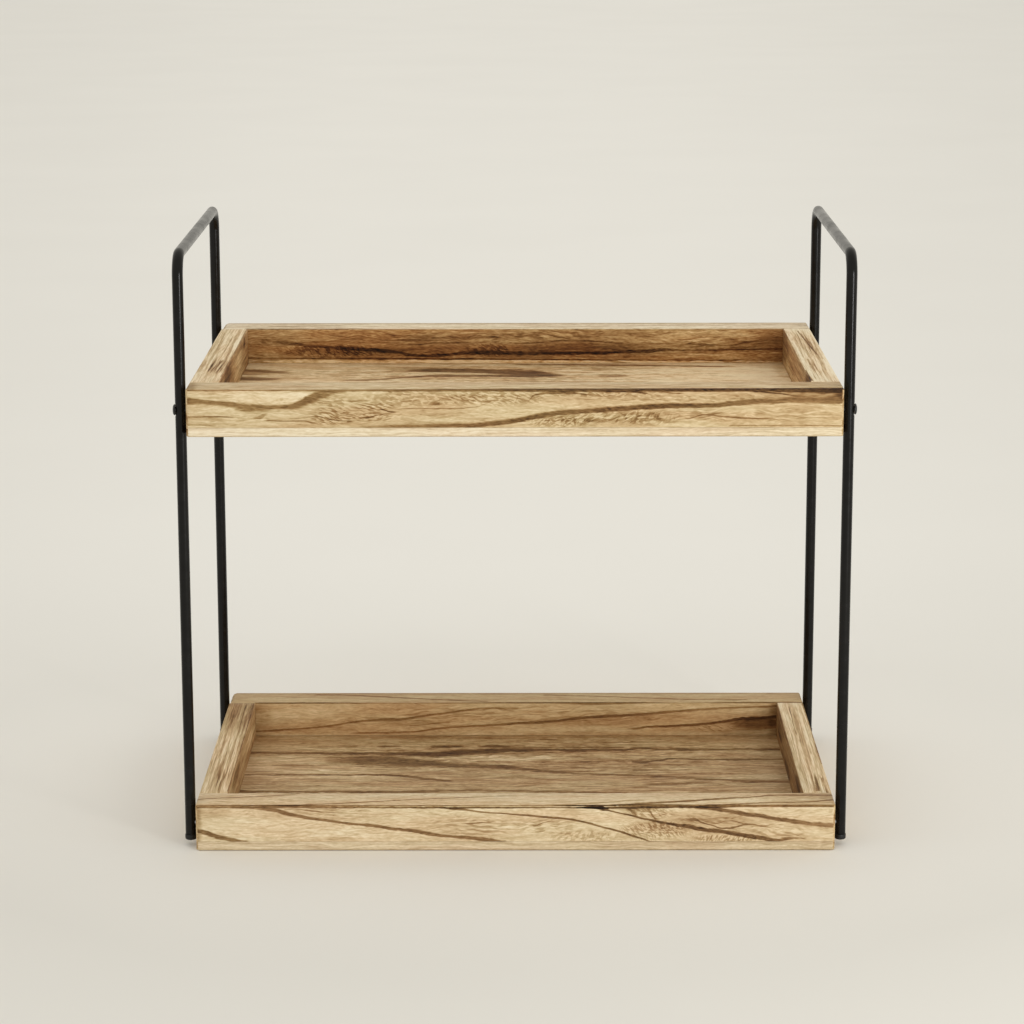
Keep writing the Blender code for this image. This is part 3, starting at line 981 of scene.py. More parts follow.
    def move(self, shift: Triple, turn: float = 0.0) -> None:
        """Turns the piece about the world's Z and moves it, in its mesh.

        Args:
            shift: The move.
            turn: The turn in degrees.
        """
        self.hold()
        if turn:
            bpy.ops.transform.rotate(value=math.radians(turn), orient_axis="Z",
                                     center_override=(0.0, 0.0, 0.0))
        bpy.ops.transform.translate(value=shift)
        bpy.ops.object.transform_apply(location=True, rotation=True, scale=True)


def turned_piece(name: str, profile: list[tuple[float, float]], start: Vector, along: Axis,
                 steps: int) -> Workpiece:
    """Turns a profile about an axis, by extruding a point and spinning the line.

    Args:
        name: The piece's name.
        profile: Its (radius, height) points from the axis to the axis.
        start: Where height 0 lies.
        along: The axis that height runs along.
        steps: Facets around.

    Returns:
        The closed piece.
    """
    side = Axis.Y if along is not Axis.Y else Axis.X
    spots = []
    for radius, height in profile:
        spot = start.copy()
        spot[along.value] += height
        spot[side.value] += radius
        spots.append(spot)
    piece = Workpiece(name, lambda: bpy.ops.mesh.primitive_plane_add(size=0.001, location=spots[0]))
    piece.open()
    bpy.ops.mesh.select_mode(type="VERT")
    piece.everything()
    bpy.ops.mesh.merge(type="CENTER")
    for here, there in zip(spots, spots[1:]):
        bpy.ops.mesh.extrude_vertices_move(TRANSFORM_OT_translate={"value": there - here})
    piece.everything()
    line = Vector([1.0 if axis is along else 0.0 for axis in Axis])
    bpy.ops.mesh.spin(steps=steps, angle=math.tau, center=start, axis=line)
    piece.tidy()
    piece.close()
    return piece


def placed_piece(first: Workpiece | None, name: str, spot: Triple,
                 model: Callable[[str, Vector], Workpiece]) -> Workpiece:
    """Copies a finished piece to another place, or models the first one there.

    Args:
        first: A piece that was made by this function, or None to model one.
        name: The new piece's name.
        spot: Its place.
        model: Models a piece with a name at a place.

    Returns:
        The new piece.
    """
    if first is None:
        piece = model(name, Vector(spot))
    else:
        piece = first.copy(name)
        x, y, z = (new - old for new, old in zip(spot, first.shape["spot"]))
        piece.move((x, y, z))
    piece.shape["spot"] = spot
    return piece


def rod_bore(diameter: float, start: Vector, end: Vector) -> Primitive:
    """Gives a call that adds a round cutter between two points.

    Args:
        diameter: Its diameter.
        start: One end.
        end: The other end.

    Returns:
        The call.
    """
    way = end - start
    turn = way.to_track_quat("Z", "Y").to_euler()
    return lambda: bpy.ops.mesh.primitive_cylinder_add(
        vertices=24, radius=diameter / 2, depth=way.length, location=(start + end) / 2, rotation=turn)


def at(value: float, target: float) -> bool:
    """Tells whether a coordinate is at a place."""
    return abs(value - target) < NEAR


@dataclass
class Board:
    """A sawn board of a tray with rounded corners, eased edges and its bores.

    Attributes:
        wood: Its finish, which names its node.
        slot: Name of its material's slot, handed to finish.
        corners: Signs along X and Y of its rounded upright corners.
        opening: Where a tray's opening ends along X, for a long rail, or else None.
        arris: Radius of its upper edges.
        ease: Radius of its other edges.
        lower_arris: Radius of its lower edges.
        corner_radius: Radius of its rounded upright corners.
        shoulders: Radii of a rear rail's upper left and upper right ends, or else zeros.
        pitch: Length of its facets.
        wear: How far its points stray.
        butt: How far its ends along Y close up on their neighbours.
        seat: How far its underside closes up on the panel.
        bores: Adds the cutters of its bores.
    """

    wood: TorchedWood
    slot: str
    corners: tuple[tuple[int, int], ...] = ()
    opening: float | None = None
    arris: float = 0.0007
    ease: float = 0.0002
    lower_arris: float = 0.0001
    corner_radius: float = 0.0022
    shoulders: tuple[float, float] = (0.0, 0.0)
    pitch: float = 0.006
    wear: float = 0.00001
    butt: float = 0.0
    seat: float = 0.00022
    bores: list[Primitive] = field(default_factory=list)

    def build(self) -> Workpiece:
        """Saws and rounds the board.

        Returns:
            The board.
        """
        low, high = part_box(self.wood.node)
        low, high = low - Vector((0.0, self.butt, self.seat)), high + Vector((0.0, self.butt, 0.0))
        middle, size = (low + high) / 2, high - low
        piece = Workpiece(f"{self.wood.node}_board",
                          lambda: bpy.ops.mesh.primitive_cube_add(size=1.0, location=middle, scale=size))
        piece.open()
        if self.opening:
            for place in (-self.opening, self.opening):
                piece.everything()
                bpy.ops.mesh.bisect(plane_co=(place, 0.0, 0.0), plane_no=(1.0, 0.0, 0.0))
        axis = self.wood.grain.value
        long_edge = 0.6 * size[axis]
        piece.pick("EDGE", lambda edge: abs(edge.verts[0].co[axis] - edge.verts[1].co[axis]) > long_edge)
        bpy.ops.mesh.subdivide(number_cuts=round(size[axis] / self.pitch) - 1)
        if any(self.shoulders):
            self.wear_shoulders(piece, low, high)
        # Corners first, then the upper and lower edges, then what is still sharp
        for sign_x, sign_y in self.corners:
            x, y = (low.x if sign_x < 0 else high.x), (low.y if sign_y < 0 else high.y)
            piece.round_off(self.corner_radius, 6, lambda p: at(p.x, x) and at(p.y, y))
        if self.opening:
            inner_y = high.y if high.y < 0 else low.y
            piece.round_off(self.arris, 3, lambda p: at(p.z, high.z) and at(p.y, inner_y)
                            and abs(p.x) < self.opening + NEAR)
            piece.round_off(self.arris, 3, lambda p: at(p.z, high.z)
                            and (abs(p.y - inner_y) > NEAR + 0.001 or at(abs(p.x), high.x)))
        elif self.wood.grain is Axis.Y:
            piece.round_off(self.arris, 3, lambda p: at(p.z, high.z) and at(p.x, low.x))
            piece.round_off(self.arris, 3, lambda p: at(p.z, high.z) and at(p.x, high.x))
        piece.round_off(self.lower_arris, 3, lambda p: at(p.z, low.z))
        piece.round_off(self.ease, 2, lambda p: True)
        piece.everything()
        bpy.ops.transform.vertex_random(offset=self.wear, uniform=0.0, normal=0.0,
                                        seed=int(self.wood.seed * 100))
        piece.close()
        piece.bore(self.bores)
        return piece

    def wear_shoulders(self, piece: Workpiece, low: Vector, high: Vector) -> None:
        """Rounds a rear rail's rear corners and its upper ends together, each by its own radius.

        Args:
            piece: The rail, in edit mode.
            low: Its low corner.
            high: Its high corner.
        """
        largest = max(self.corner_radius, *self.shoulders)
        for x, radius in zip((low.x, high.x), self.shoulders):
            piece.weigh(self.corner_radius / largest, lambda p: at(p.x, x) and at(p.y, high.y))
            piece.weigh(radius / largest, lambda p: at(p.x, x) and at(p.z, high.z))
        piece.weigh(self.arris / largest, lambda p: at(p.y, high.y) and at(p.z, high.z))
        piece.round_by_weight(largest, 6)


def upper_front() -> tuple[Patch, ...]:
    """Gives the upper tray's front rail its grain."""
    sweep = Band((
        ((0, 720, 67, 600), (20, 700, 50, 500), (40, 670, 39, 470), (60, 640, 50, 470), (80, 580, 67, 480),
         (100, 530, 84, 510), (120, 530, 67, 490), (140, 545, 45, 470), (158, 560, 50, 500),
         (170, 610, 67, 540), (180, 690, 84, 560), (190, 770, 90, 540), (200, 850, 90, 520),
         (215, 930, 78, 470), (240, 1000, 56, 370)),
    ), under=1.3, ragged=0.45)
    river = Band((
        ((270, 0, 30, 200), (320, 20, 30, 300), (380, 40, 35, 400), (440, 50, 40, 520), (460, 90, 50, 560),
         (480, 120, 55, 600), (500, 165, 55, 620), (520, 235, 55, 630), (540, 300, 60, 630),
         (560, 355, 55, 600), (580, 395, 55, 600), (600, 410, 50, 620), (640, 460, 60, 660),
         (680, 505, 55, 640), (700, 530, 60, 670), (740, 560, 55, 680), (800, 565, 50, 620),
         (820, 600, 52, 580), (840, 630, 55, 540), (860, 660, 60, 520), (890, 680, 60, 460),
         (920, 690, 55, 380), (950, 690, 60, 360), (975, 690, 80, 420), (990, 730, 120, 500),
         (1000, 760, 140, 580)),
    ), under=0.4, over=0.9, ragged=0.35)
    arris = Band((
        ((0, 990, 15, 400), (200, 990, 18, 450), (300, 985, 20, 550), (450, 985, 22, 620),
         (500, 980, 22, 660), (600, 975, 25, 700), (860, 980, 25, 740), (920, 970, 30, 760),
         (1000, 950, 50, 800)),
    ), under=1.5, over=0.3, ragged=0.45)
    branch = Band((
        ((30, 300, 12, 350), (70, 280, 12, 250)),
        ((125, 190, 15, 500), (150, 165, 12, 450), (180, 170, 15, 450), (195, 120, 20, 300)),
        ((250, 700, 20, 400), (275, 700, 15, 250)),
        ((295, 480, 12, 400), (315, 410, 18, 550)),
        ((330, 500, 10, 250), (400, 500, 12, 350), (440, 540, 10, 300), (500, 580, 10, 200)),
        ((505, 820, 20, 300), (530, 860, 20, 420), (545, 900, 30, 450), (575, 920, 30, 550),
         (595, 900, 20, 450), (615, 860, 15, 350)),
        ((640, 940, 15, 400), (690, 920, 20, 500), (700, 900, 15, 300)),
        ((720, 930, 15, 350), (750, 890, 20, 400)),
        ((865, 940, 15, 550), (890, 910, 15, 650), (910, 870, 14, 550), (935, 820, 12, 300)),
    ), ragged=0.4)
    veins = Band((
        ((0, 270, 20, 300), (50, 290, 12, 300), (90, 250, 10, 150)),
        ((105, 250, 30, 220), (118, 310, 50, 320), (122, 340, 30, 200)),
        ((160, 240, 10, 200), (200, 290, 10, 350), (215, 220, 15, 400), (250, 170, 12, 250)),
        ((270, 250, 12, 350), (290, 320, 14, 450), (310, 370, 10, 300)),
        ((370, 620, 30, 250), (380, 630, 40, 400), (390, 620, 30, 200)),
        ((600, 80, 30, 230), (607, 150, 50, 270), (620, 190, 40, 190), (632, 160, 30, 280)),
        ((676, 120, 30, 120), (684, 220, 80, 200), (690, 360, 50, 170)),
        ((705, 360, 40, 190), (715, 280, 50, 270), (730, 160, 40, 220), (745, 140, 30, 160)),
        ((760, 220, 12, 300), (790, 330, 15, 350), (820, 270, 20, 450), (890, 220, 15, 350)),
    ), ragged=0.5)
    floor_line = Band((
        ((0, 80, 30, 250), (40, 60, 20, 250)),
        ((830, 40, 18, 350), (950, 30, 15, 300), (1000, 30, 15, 300)),
    ))
    face = Patch(
        Face.FRONT, base=0.2, mottle=0.06, bands=(sweep, river, arris, branch, veins, floor_line),
        scorches_and_shade=(
            ScorchAndShade((0.12, 0.8), (0.09, 0.22), -0.1), ScorchAndShade((0.965, 0.84), (0.07, 0.22), 0.2),
            ScorchAndShade((0.88, 0.8), (0.1, 0.16), 0.1), ScorchAndShade((0.38, 0.04), (0.12, 0.14), 0.14),
        ),
        strokes=(
            Strokes((0.225, 0.3), (0.05, 0.32), -17.0, 0.32, 0.0048, 0.0009, 0.75, 0.15),
            Strokes((0.22, 0.7), (0.05, 0.24), -10.0, 0.18, 0.0045, 0.0011, 0.7),
            Strokes((0.285, 0.55), (0.04, 0.15), -16.0, 0.32, 0.005, 0.0009, 0.75, 0.15),
            Strokes((0.285, 0.28), (0.04, 0.16), 15.0, 0.3, 0.005, 0.0009, 0.7, 0.15),
            Strokes((0.35, 0.76), (0.11, 0.27), -9.0, 0.2, 0.004, 0.0014, 0.85),
            Strokes((0.47, 0.78), (0.09, 0.26), -18.0, 0.26, 0.0045, 0.0011, 0.8, 0.15),
            Strokes((0.4, 0.25), (0.1, 0.25), -6.0, 0.1, 0.012, 0.0014, 0.6),
            Strokes((0.57, 0.14), (0.07, 0.18), 30.0, 0.24, 0.003, 0.0014, 0.8, 0.8),
            Strokes((0.69, 0.24), (0.07, 0.26), 35.0, 0.22, 0.005, 0.002, 0.85, 1.2),
            Strokes((0.63, 0.24), (0.11, 0.2), 24.0, 0.22, 0.0045, 0.0012, 0.8, 0.6),
            Strokes((0.78, 0.3), (0.08, 0.24), 8.0, 0.2, 0.008, 0.0012, 0.75),
            Strokes((0.92, 0.3), (0.1, 0.3), -2.0, 0.16, 0.01, 0.0012, 0.75),
            Strokes((0.62, 0.88), (0.14, 0.1), -8.0, 0.24, 0.0045, 0.001, 0.75, 0.6),
            Strokes((0.74, 0.76), (0.26, 0.12), -3.0, 0.14, 0.006, 0.0012, 0.75),
            Strokes((0.09, 0.2), (0.1, 0.24), -1.0, 0.1, 0.018, 0.0011, 0.6),
        ))
    top = Patch(
        Face.TOP, base=0.18, mottle=0.08, ember=0.12,
        bands=(
            Band((
                ((0, 0, 20, 300), (270, 20, 30, 400), (400, 30, 50, 550), (550, 40, 65, 700),
                 (750, 40, 70, 760), (920, 40, 80, 820), (1000, 50, 100, 860)),
            ), under=0.2, over=1.2, ragged=0.8),
        ),
        # The dark strip at the left end of the top and the darker right end are painted shade beside the
        # legs.
        scorches_and_shade=(ScorchAndShade((0.0, 0.1), (0.02, 1.5), 0.22), ScorchAndShade((0.97, 0.55), (0.06, 0.8), 0.08)),
        strokes=(Strokes((0.5, 0.5), (0.8, 1.2), 0.0, 0.14, 0.016, 0.0018, 0.6),))
    return face, top


def lower_front() -> tuple[Patch, ...]:
    """Gives the lower tray's front rail its grain."""
    corner = Band((
        ((0, 300, 50, 600), (10, 260, 55, 640), (20, 210, 60, 640), (30, 150, 60, 620), (40, 100, 60, 600),
         (55, 50, 50, 550), (80, -20, 40, 350)),
        ((770, 620, 30, 250), (782, 600, 30, 500), (790, 530, 20, 500), (810, 430, 18, 520),
         (825, 360, 20, 550), (845, 400, 22, 520), (865, 470, 20, 450), (890, 420, 20, 300),
         (900, 470, 15, 200)),
    ), under=0.4, over=0.4, ragged=0.6)
    sweep = Band((
        ((60, 955, 32, 220), (100, 925, 42, 400), (120, 885, 58, 520), (140, 800, 58, 540),
         (160, 710, 47, 500), (180, 650, 42, 500), (200, 600, 37, 500), (220, 550, 37, 520),
         (250, 475, 37, 540), (280, 440, 47, 560), (300, 370, 37, 540), (320, 330, 37, 560),
         (340, 295, 47, 610), (360, 230, 53, 590), (380, 165, 47, 540), (400, 130, 42, 520),
         (420, 105, 47, 560), (440, 70, 53, 540), (460, 30, 53, 540), (480, -20, 42, 450)),
    ), under=0.3, over=0.35, ragged=0.5)
    thread = Band((
        ((385, 940, 20, 550), (405, 920, 32, 660), (418, 895, 30, 640), (440, 840, 20, 560),
         (500, 750, 22, 600), (540, 690, 24, 620), (575, 640, 24, 620), (600, 565, 24, 610),
         (640, 380, 25, 620), (660, 285, 25, 620), (680, 170, 26, 620), (700, 60, 24, 600),
         (720, -30, 20, 500)),
    ), under=0.4, over=0.4, ragged=0.3)
    sliver = Band((
        ((585, 945, 6, 900), (600, 945, 22, 1000), (620, 945, 45, 1000), (636, 935, 60, 1000),
         (641, 925, 30, 1000)),
    ), under=0.1, over=0.1, ragged=0.05)
    fork = Band((
        ((638, 875, 24, 810), (650, 845, 24, 720), (660, 800, 20, 650), (680, 730, 24, 670),
         (700, 625, 31, 680), (720, 560, 28, 670), (735, 500, 33, 650), (750, 455, 39, 670),
         (770, 410, 61, 670), (790, 330, 55, 680), (810, 290, 50, 670), (830, 245, 55, 670),
         (850, 180, 61, 670), (870, 130, 61, 670), (890, 70, 55, 630), (910, 20, 44, 590),
         (930, 60, 33, 270)),
    ), under=0.25, over=0.35, ragged=0.5)
    tail = Band((
        ((760, 965, 33, 590), (800, 930, 50, 640), (820, 880, 55, 620), (840, 820, 50, 590),
         (860, 760, 50, 600), (880, 720, 50, 620), (900, 650, 44, 590), (920, 600, 50, 570),
         (940, 540, 50, 550), (960, 490, 50, 490), (980, 460, 55, 440), (1000, 430, 55, 420)),
    ), over=0.35, ragged=0.6)
    arris = Band((
        ((0, 950, 20, 700), (30, 955, 20, 500), (70, 950, 20, 500), (140, 960, 22, 540),
         (200, 955, 24, 500), (300, 950, 20, 600), (380, 945, 22, 700), (480, 945, 20, 720),
         (570, 945, 15, 620), (660, 940, 25, 720), (700, 955, 30, 740), (800, 965, 28, 720),
         (900, 975, 20, 600), (1000, 970, 20, 650)),
    ), ragged=0.6)
    rungs = Band((
        ((145, 900, 12, 300), (200, 830, 12, 300), (250, 770, 10, 250)),
        ((420, 500, 10, 300), (435, 510, 20, 350), (460, 530, 12, 200)),
        ((526, 430, 12, 350), (545, 520, 16, 350), (560, 560, 12, 200)),
        ((676, 920, 30, 350), (686, 780, 50, 420)),
        ((705, 840, 30, 390), (715, 700, 40, 420), (722, 600, 30, 350)),
        ((810, 490, 14, 350), (835, 570, 16, 380), (860, 490, 14, 300)),
        ((920, 90, 20, 400), (950, 80, 20, 300)),
    ), ragged=0.5)
    face = Patch(
        Face.FRONT, base=0.17, mottle=0.06, ember=-0.05,
        bands=(corner, sweep, thread, fork, tail, rungs, arris, sliver),
        scorches_and_shade=(
            ScorchAndShade((0.69, 0.92), (0.045, 0.14), 0.24), ScorchAndShade((0.02, 0.8), (0.04, 0.25), 0.1),
            # The thin dark strip at the left end of the face, centred at 0.0 along it, is painted shade
            # beside the leg.
            ScorchAndShade((0.0, 0.5), (0.012, 0.9), 0.25), ScorchAndShade((0.83, 0.62), (0.1, 0.3), 0.1),
            ScorchAndShade((0.15, 0.35), (0.16, 0.35), -0.05), ScorchAndShade((0.3, 0.15), (0.12, 0.2), -0.04),
            ScorchAndShade((0.74, 0.55), (0.06, 0.35), 0.08),
        ),
        strokes=(
            Strokes((0.22, 0.8), (0.12, 0.24), -5.0, 0.15, 0.014, 0.001, 0.7),
            Strokes((0.44, 0.42), (0.09, 0.35), -1.0, 0.22, 0.009, 0.0012, 0.7),
            Strokes((0.55, 0.42), (0.06, 0.32), 10.0, 0.18, 0.006, 0.0012, 0.65),
            Strokes((0.61, 0.15), (0.07, 0.25), 25.0, 0.18, 0.0028, 0.0016, 0.7),
            Strokes((0.72, 0.3), (0.07, 0.34), -38.0, 0.26, 0.0026, 0.001, 0.75),
            Strokes((0.71, 0.8), (0.05, 0.2), -30.0, 0.22, 0.004, 0.0011, 0.7),
            Strokes((0.83, 0.06), (0.07, 0.14), 50.0, 0.26, 0.003, 0.001, 0.7),
            Strokes((0.8, 0.62), (0.06, 0.22), -12.0, 0.16, 0.008, 0.0013, 0.6),
            Strokes((0.9, 0.25), (0.1, 0.26), -14.0, 0.16, 0.009, 0.0014, 0.6),
        ))
    top = Patch(
        Face.TOP, base=0.11, mottle=0.1, ember=0.1,
        bands=(
            Band((
                ((0, 520, 30, 350), (50, 640, 30, 400), (100, 740, 30, 400), (150, 900, 30, 350),
                 (170, 1000, 30, 300)),
                ((650, 50, 50, 450), (700, 170, 60, 550), (750, 300, 60, 550), (800, 450, 60, 550),
                 (830, 550, 60, 500), (880, 680, 50, 500), (910, 800, 50, 450), (1000, 800, 50, 400)),
            )),
            Band((
                ((130, 0, 40, 500), (180, 100, 35, 450), (220, 180, 30, 450), (270, 300, 30, 450),
                 (300, 380, 30, 420), (350, 500, 30, 400), (400, 600, 30, 380), (450, 700, 30, 300),
                 (500, 760, 30, 250)),
                ((550, 70, 30, 300), (600, 130, 30, 300), (650, 280, 30, 300), (700, 420, 30, 250)),
                ((800, 50, 40, 500), (850, 120, 40, 500), (900, 230, 40, 450), (950, 270, 40, 450),
                 (1000, 450, 50, 450)),
            )),
            Band((
                ((0, 20, 30, 500), (80, 20, 40, 620), (140, 20, 50, 650), (200, 20, 30, 500),
                 (550, 10, 20, 550), (600, 20, 30, 900), (640, 20, 30, 800), (700, 50, 60, 650),
                 (800, 20, 40, 600), (1000, 20, 30, 500)),
            ), under=0.2, over=0.8),
        ),
        # The darker right end of the top is painted shade beside the leg.
        scorches_and_shade=(ScorchAndShade((0.97, 0.5), (0.1, 0.8), 0.12),),
        contrast=1.25)
    return face, top


def upper_rear() -> tuple[Patch, ...]:
    """Gives the upper tray's rear rail its grain."""
    river = Band((
        ((30, 660, 30, 250), (70, 600, 40, 350), (100, 520, 40, 420), (150, 460, 40, 480),
         (200, 410, 45, 560), (250, 350, 45, 680), (280, 310, 35, 660), (300, 235, 30, 660),
         (340, 210, 30, 660), (380, 240, 30, 580), (410, 290, 40, 600), (440, 310, 50, 700),
         (470, 290, 45, 680), (500, 280, 40, 600), (600, 270, 35, 660), (650, 280, 35, 680),
         (700, 310, 35, 680), (750, 340, 35, 680), (780, 370, 30, 620), (800, 360, 22, 500),
         (900, 370, 18, 450), (1000, 400, 22, 450)),
    ), under=0.8, over=1.0, ragged=0.8)
    upper_line = Band((
        ((50, 600, 30, 300), (100, 560, 30, 300)),
        ((300, 550, 20, 350), (410, 600, 20, 350)),
        ((500, 570, 20, 400), (550, 600, 20, 450), (600, 650, 20, 420), (650, 630, 20, 400),
         (700, 580, 20, 300)),
        ((820, 540, 20, 250), (900, 500, 20, 300), (940, 600, 20, 300)),
    ), under=0.9, over=0.4, ragged=0.6)
    base_line = Band((
        ((0, 140, 20, 350), (120, 125, 18, 500), (300, 115, 22, 600), (500, 90, 22, 580),
         (700, 70, 16, 500), (850, 60, 14, 350), (1000, 60, 14, 250)),
    ), under=0.3, over=0.9, ragged=0.4)
    inner = Patch(
        Face.FRONT, base=0.37, mottle=0.07, ember=0.72, bands=(river, upper_line, base_line),
        scorches_and_shade=(
            ScorchAndShade((0.42, 0.02), (0.56, 0.09), -0.34), ScorchAndShade((0.85, 0.0), (0.2, 0.07), -0.16),
            ScorchAndShade((0.62, 0.42), (0.17, 0.22), 0.22), ScorchAndShade((0.3, 0.34), (0.2, 0.22), 0.12),
            ScorchAndShade((0.5, 0.26), (0.12, 0.16), 0.14), ScorchAndShade((0.16, 0.3), (0.12, 0.22), 0.06),
            ScorchAndShade((0.86, 0.74), (0.13, 0.25), -0.16), ScorchAndShade((0.9, 0.2), (0.14, 0.16), -0.12),
            # The darker areas centred at 0.965 and 1.0 along the face, at its right end, are painted shade in
            # the inner corner.
            ScorchAndShade((0.25, 0.88), (0.3, 0.18), -0.1), ScorchAndShade((0.965, 0.6), (0.05, 0.22), 0.12),
            ScorchAndShade((1.0, 0.5), (0.02, 0.6), 0.1),
        ),
        strokes=(
            Strokes((0.16, 0.34), (0.13, 0.24), -38.0, 0.24, 0.0032, 0.0012, 0.8),
            Strokes((0.45, 0.4), (0.06, 0.26), -32.0, 0.22, 0.0035, 0.0012, 0.7),
            Strokes((0.55, 0.8), (0.14, 0.2), -6.0, 0.2, 0.009, 0.0013, 0.7),
            Strokes((0.28, 0.76), (0.28, 0.24), -3.0, 0.16, 0.02, 0.001, 0.7),
            Strokes((0.88, 0.55), (0.12, 0.35), 6.0, 0.18, 0.012, 0.0012, 0.7),
        ),
        along=OPENING_X)
    top = Patch(
        Face.TOP, base=0.08, mottle=0.08, ember=-0.1,
        bands=(
            Band((((45, 30, 50, 600), (200, 30, 40, 500), (300, 10, 20, 300), (1000, 10, 20, 300)),)),
            Band((
                ((80, 450, 40, 300), (140, 500, 40, 350), (200, 600, 40, 300)),
                ((400, 200, 30, 200), (600, 350, 30, 250), (800, 550, 30, 250), (1000, 600, 30, 200)),
            )),
        ),
        # The first one, a darker strip along the far edge of the top, is painted shade where the rounded edge
        # turns away from the light.
        scorches_and_shade=(ScorchAndShade((0.5, 1.0), (0.9, 0.3), 0.22), ScorchAndShade((0.12, 0.5), (0.12, 0.5), 0.06)),
        strokes=(Strokes((0.5, 0.5), (0.8, 1.0), 0.0, 0.12, 0.018, 0.0018, 0.6),))
    return inner, top


def lower_rear() -> tuple[Patch, ...]:
    """Gives the lower tray's rear rail its grain."""
    climb = Band((
        ((0, 120, 20, 400), (50, 170, 23, 400), (100, 220, 23, 380), (150, 310, 23, 380),
         (200, 440, 25, 420), (250, 490, 32, 460), (280, 500, 32, 480), (320, 600, 27, 440),
         (360, 680, 25, 400), (400, 770, 25, 400), (450, 840, 23, 360), (500, 840, 18, 280)),
    ), under=1.4, over=0.3, ragged=0.5)
    middle = Band((
        ((170, 60, 9, 0), (200, 70, 20, 330), (300, 100, 20, 370), (350, 210, 23, 390), (400, 270, 23, 410),
         (450, 310, 25, 430), (500, 370, 29, 480), (570, 430, 32, 490), (620, 530, 32, 490),
         (700, 610, 32, 490), (750, 660, 29, 480), (800, 730, 27, 430), (850, 790, 25, 410),
         (900, 840, 23, 390), (1000, 900, 23, 370)),
    ), under=1.4, over=0.3, ragged=0.5)
    right = Band((
        ((300, 300, 17, 260), (370, 400, 17, 260)),
        ((690, 170, 9, 0), (730, 200, 25, 430), (760, 260, 25, 520), (800, 280, 30, 530),
         (850, 330, 30, 550), (900, 420, 34, 600), (930, 500, 38, 650), (970, 530, 43, 670),
         (1000, 580, 43, 690)),
    ), under=1.2, over=0.3, ragged=0.5)
    inner = Patch(
        Face.FRONT, base=0.25, mottle=0.1, ember=0.35, bands=(climb, middle, right),
        scorches_and_shade=(
            # The darker areas centred at 0.96 and 1.0 along the face and the strip at 0.0, at its ends, are
            # painted shade in the inner corners.
            ScorchAndShade((0.96, 0.35), (0.06, 0.25), 0.34), ScorchAndShade((1.0, 0.5), (0.02, 0.8), 0.2),
            ScorchAndShade((0.0, 0.5), (0.04, 0.9), 0.12), ScorchAndShade((0.65, 1.0), (0.1, 0.08), 0.35),
            ScorchAndShade((0.3, 0.38), (0.08, 0.14), 0.08), ScorchAndShade((0.62, 0.38), (0.14, 0.14), 0.08),
            ScorchAndShade((0.1, 0.7), (0.14, 0.3), -0.06),
        ),
        strokes=(
            Strokes((0.88, 0.2), (0.05, 0.14), -30.0, 0.2, 0.005, 0.0012, 0.6),
            Strokes((0.5, 0.6), (0.45, 0.4), 3.0, 0.14, 0.014, 0.0011, 0.65),
        ),
        along=OPENING_X)
    top = Patch(
        Face.TOP, base=0.33, mottle=0.08,
        bands=(
            Band((
                ((150, 800, 40, 350), (250, 660, 40, 400), (300, 500, 40, 400), (350, 370, 40, 400),
                 (400, 250, 40, 400), (450, 150, 40, 350)),
                ((550, 750, 40, 300), (620, 670, 40, 350), (700, 520, 40, 350), (750, 420, 40, 350),
                 (800, 330, 40, 350), (900, 300, 40, 300)),
            )),
            Band((
                ((50, 20, 40, 600), (150, 20, 40, 600), (300, 0, 20, 300), (550, 30, 40, 600),
                 (700, 30, 40, 600), (800, 0, 20, 300), (900, 30, 40, 600), (1000, 30, 40, 500)),
            )),
        ),
        # The darker strip along the far edge of the top is painted shade where the edge turns away from the
        # light.
        scorches_and_shade=(ScorchAndShade((0.5, 1.0), (0.9, 0.25), 0.1),))
    return inner, top


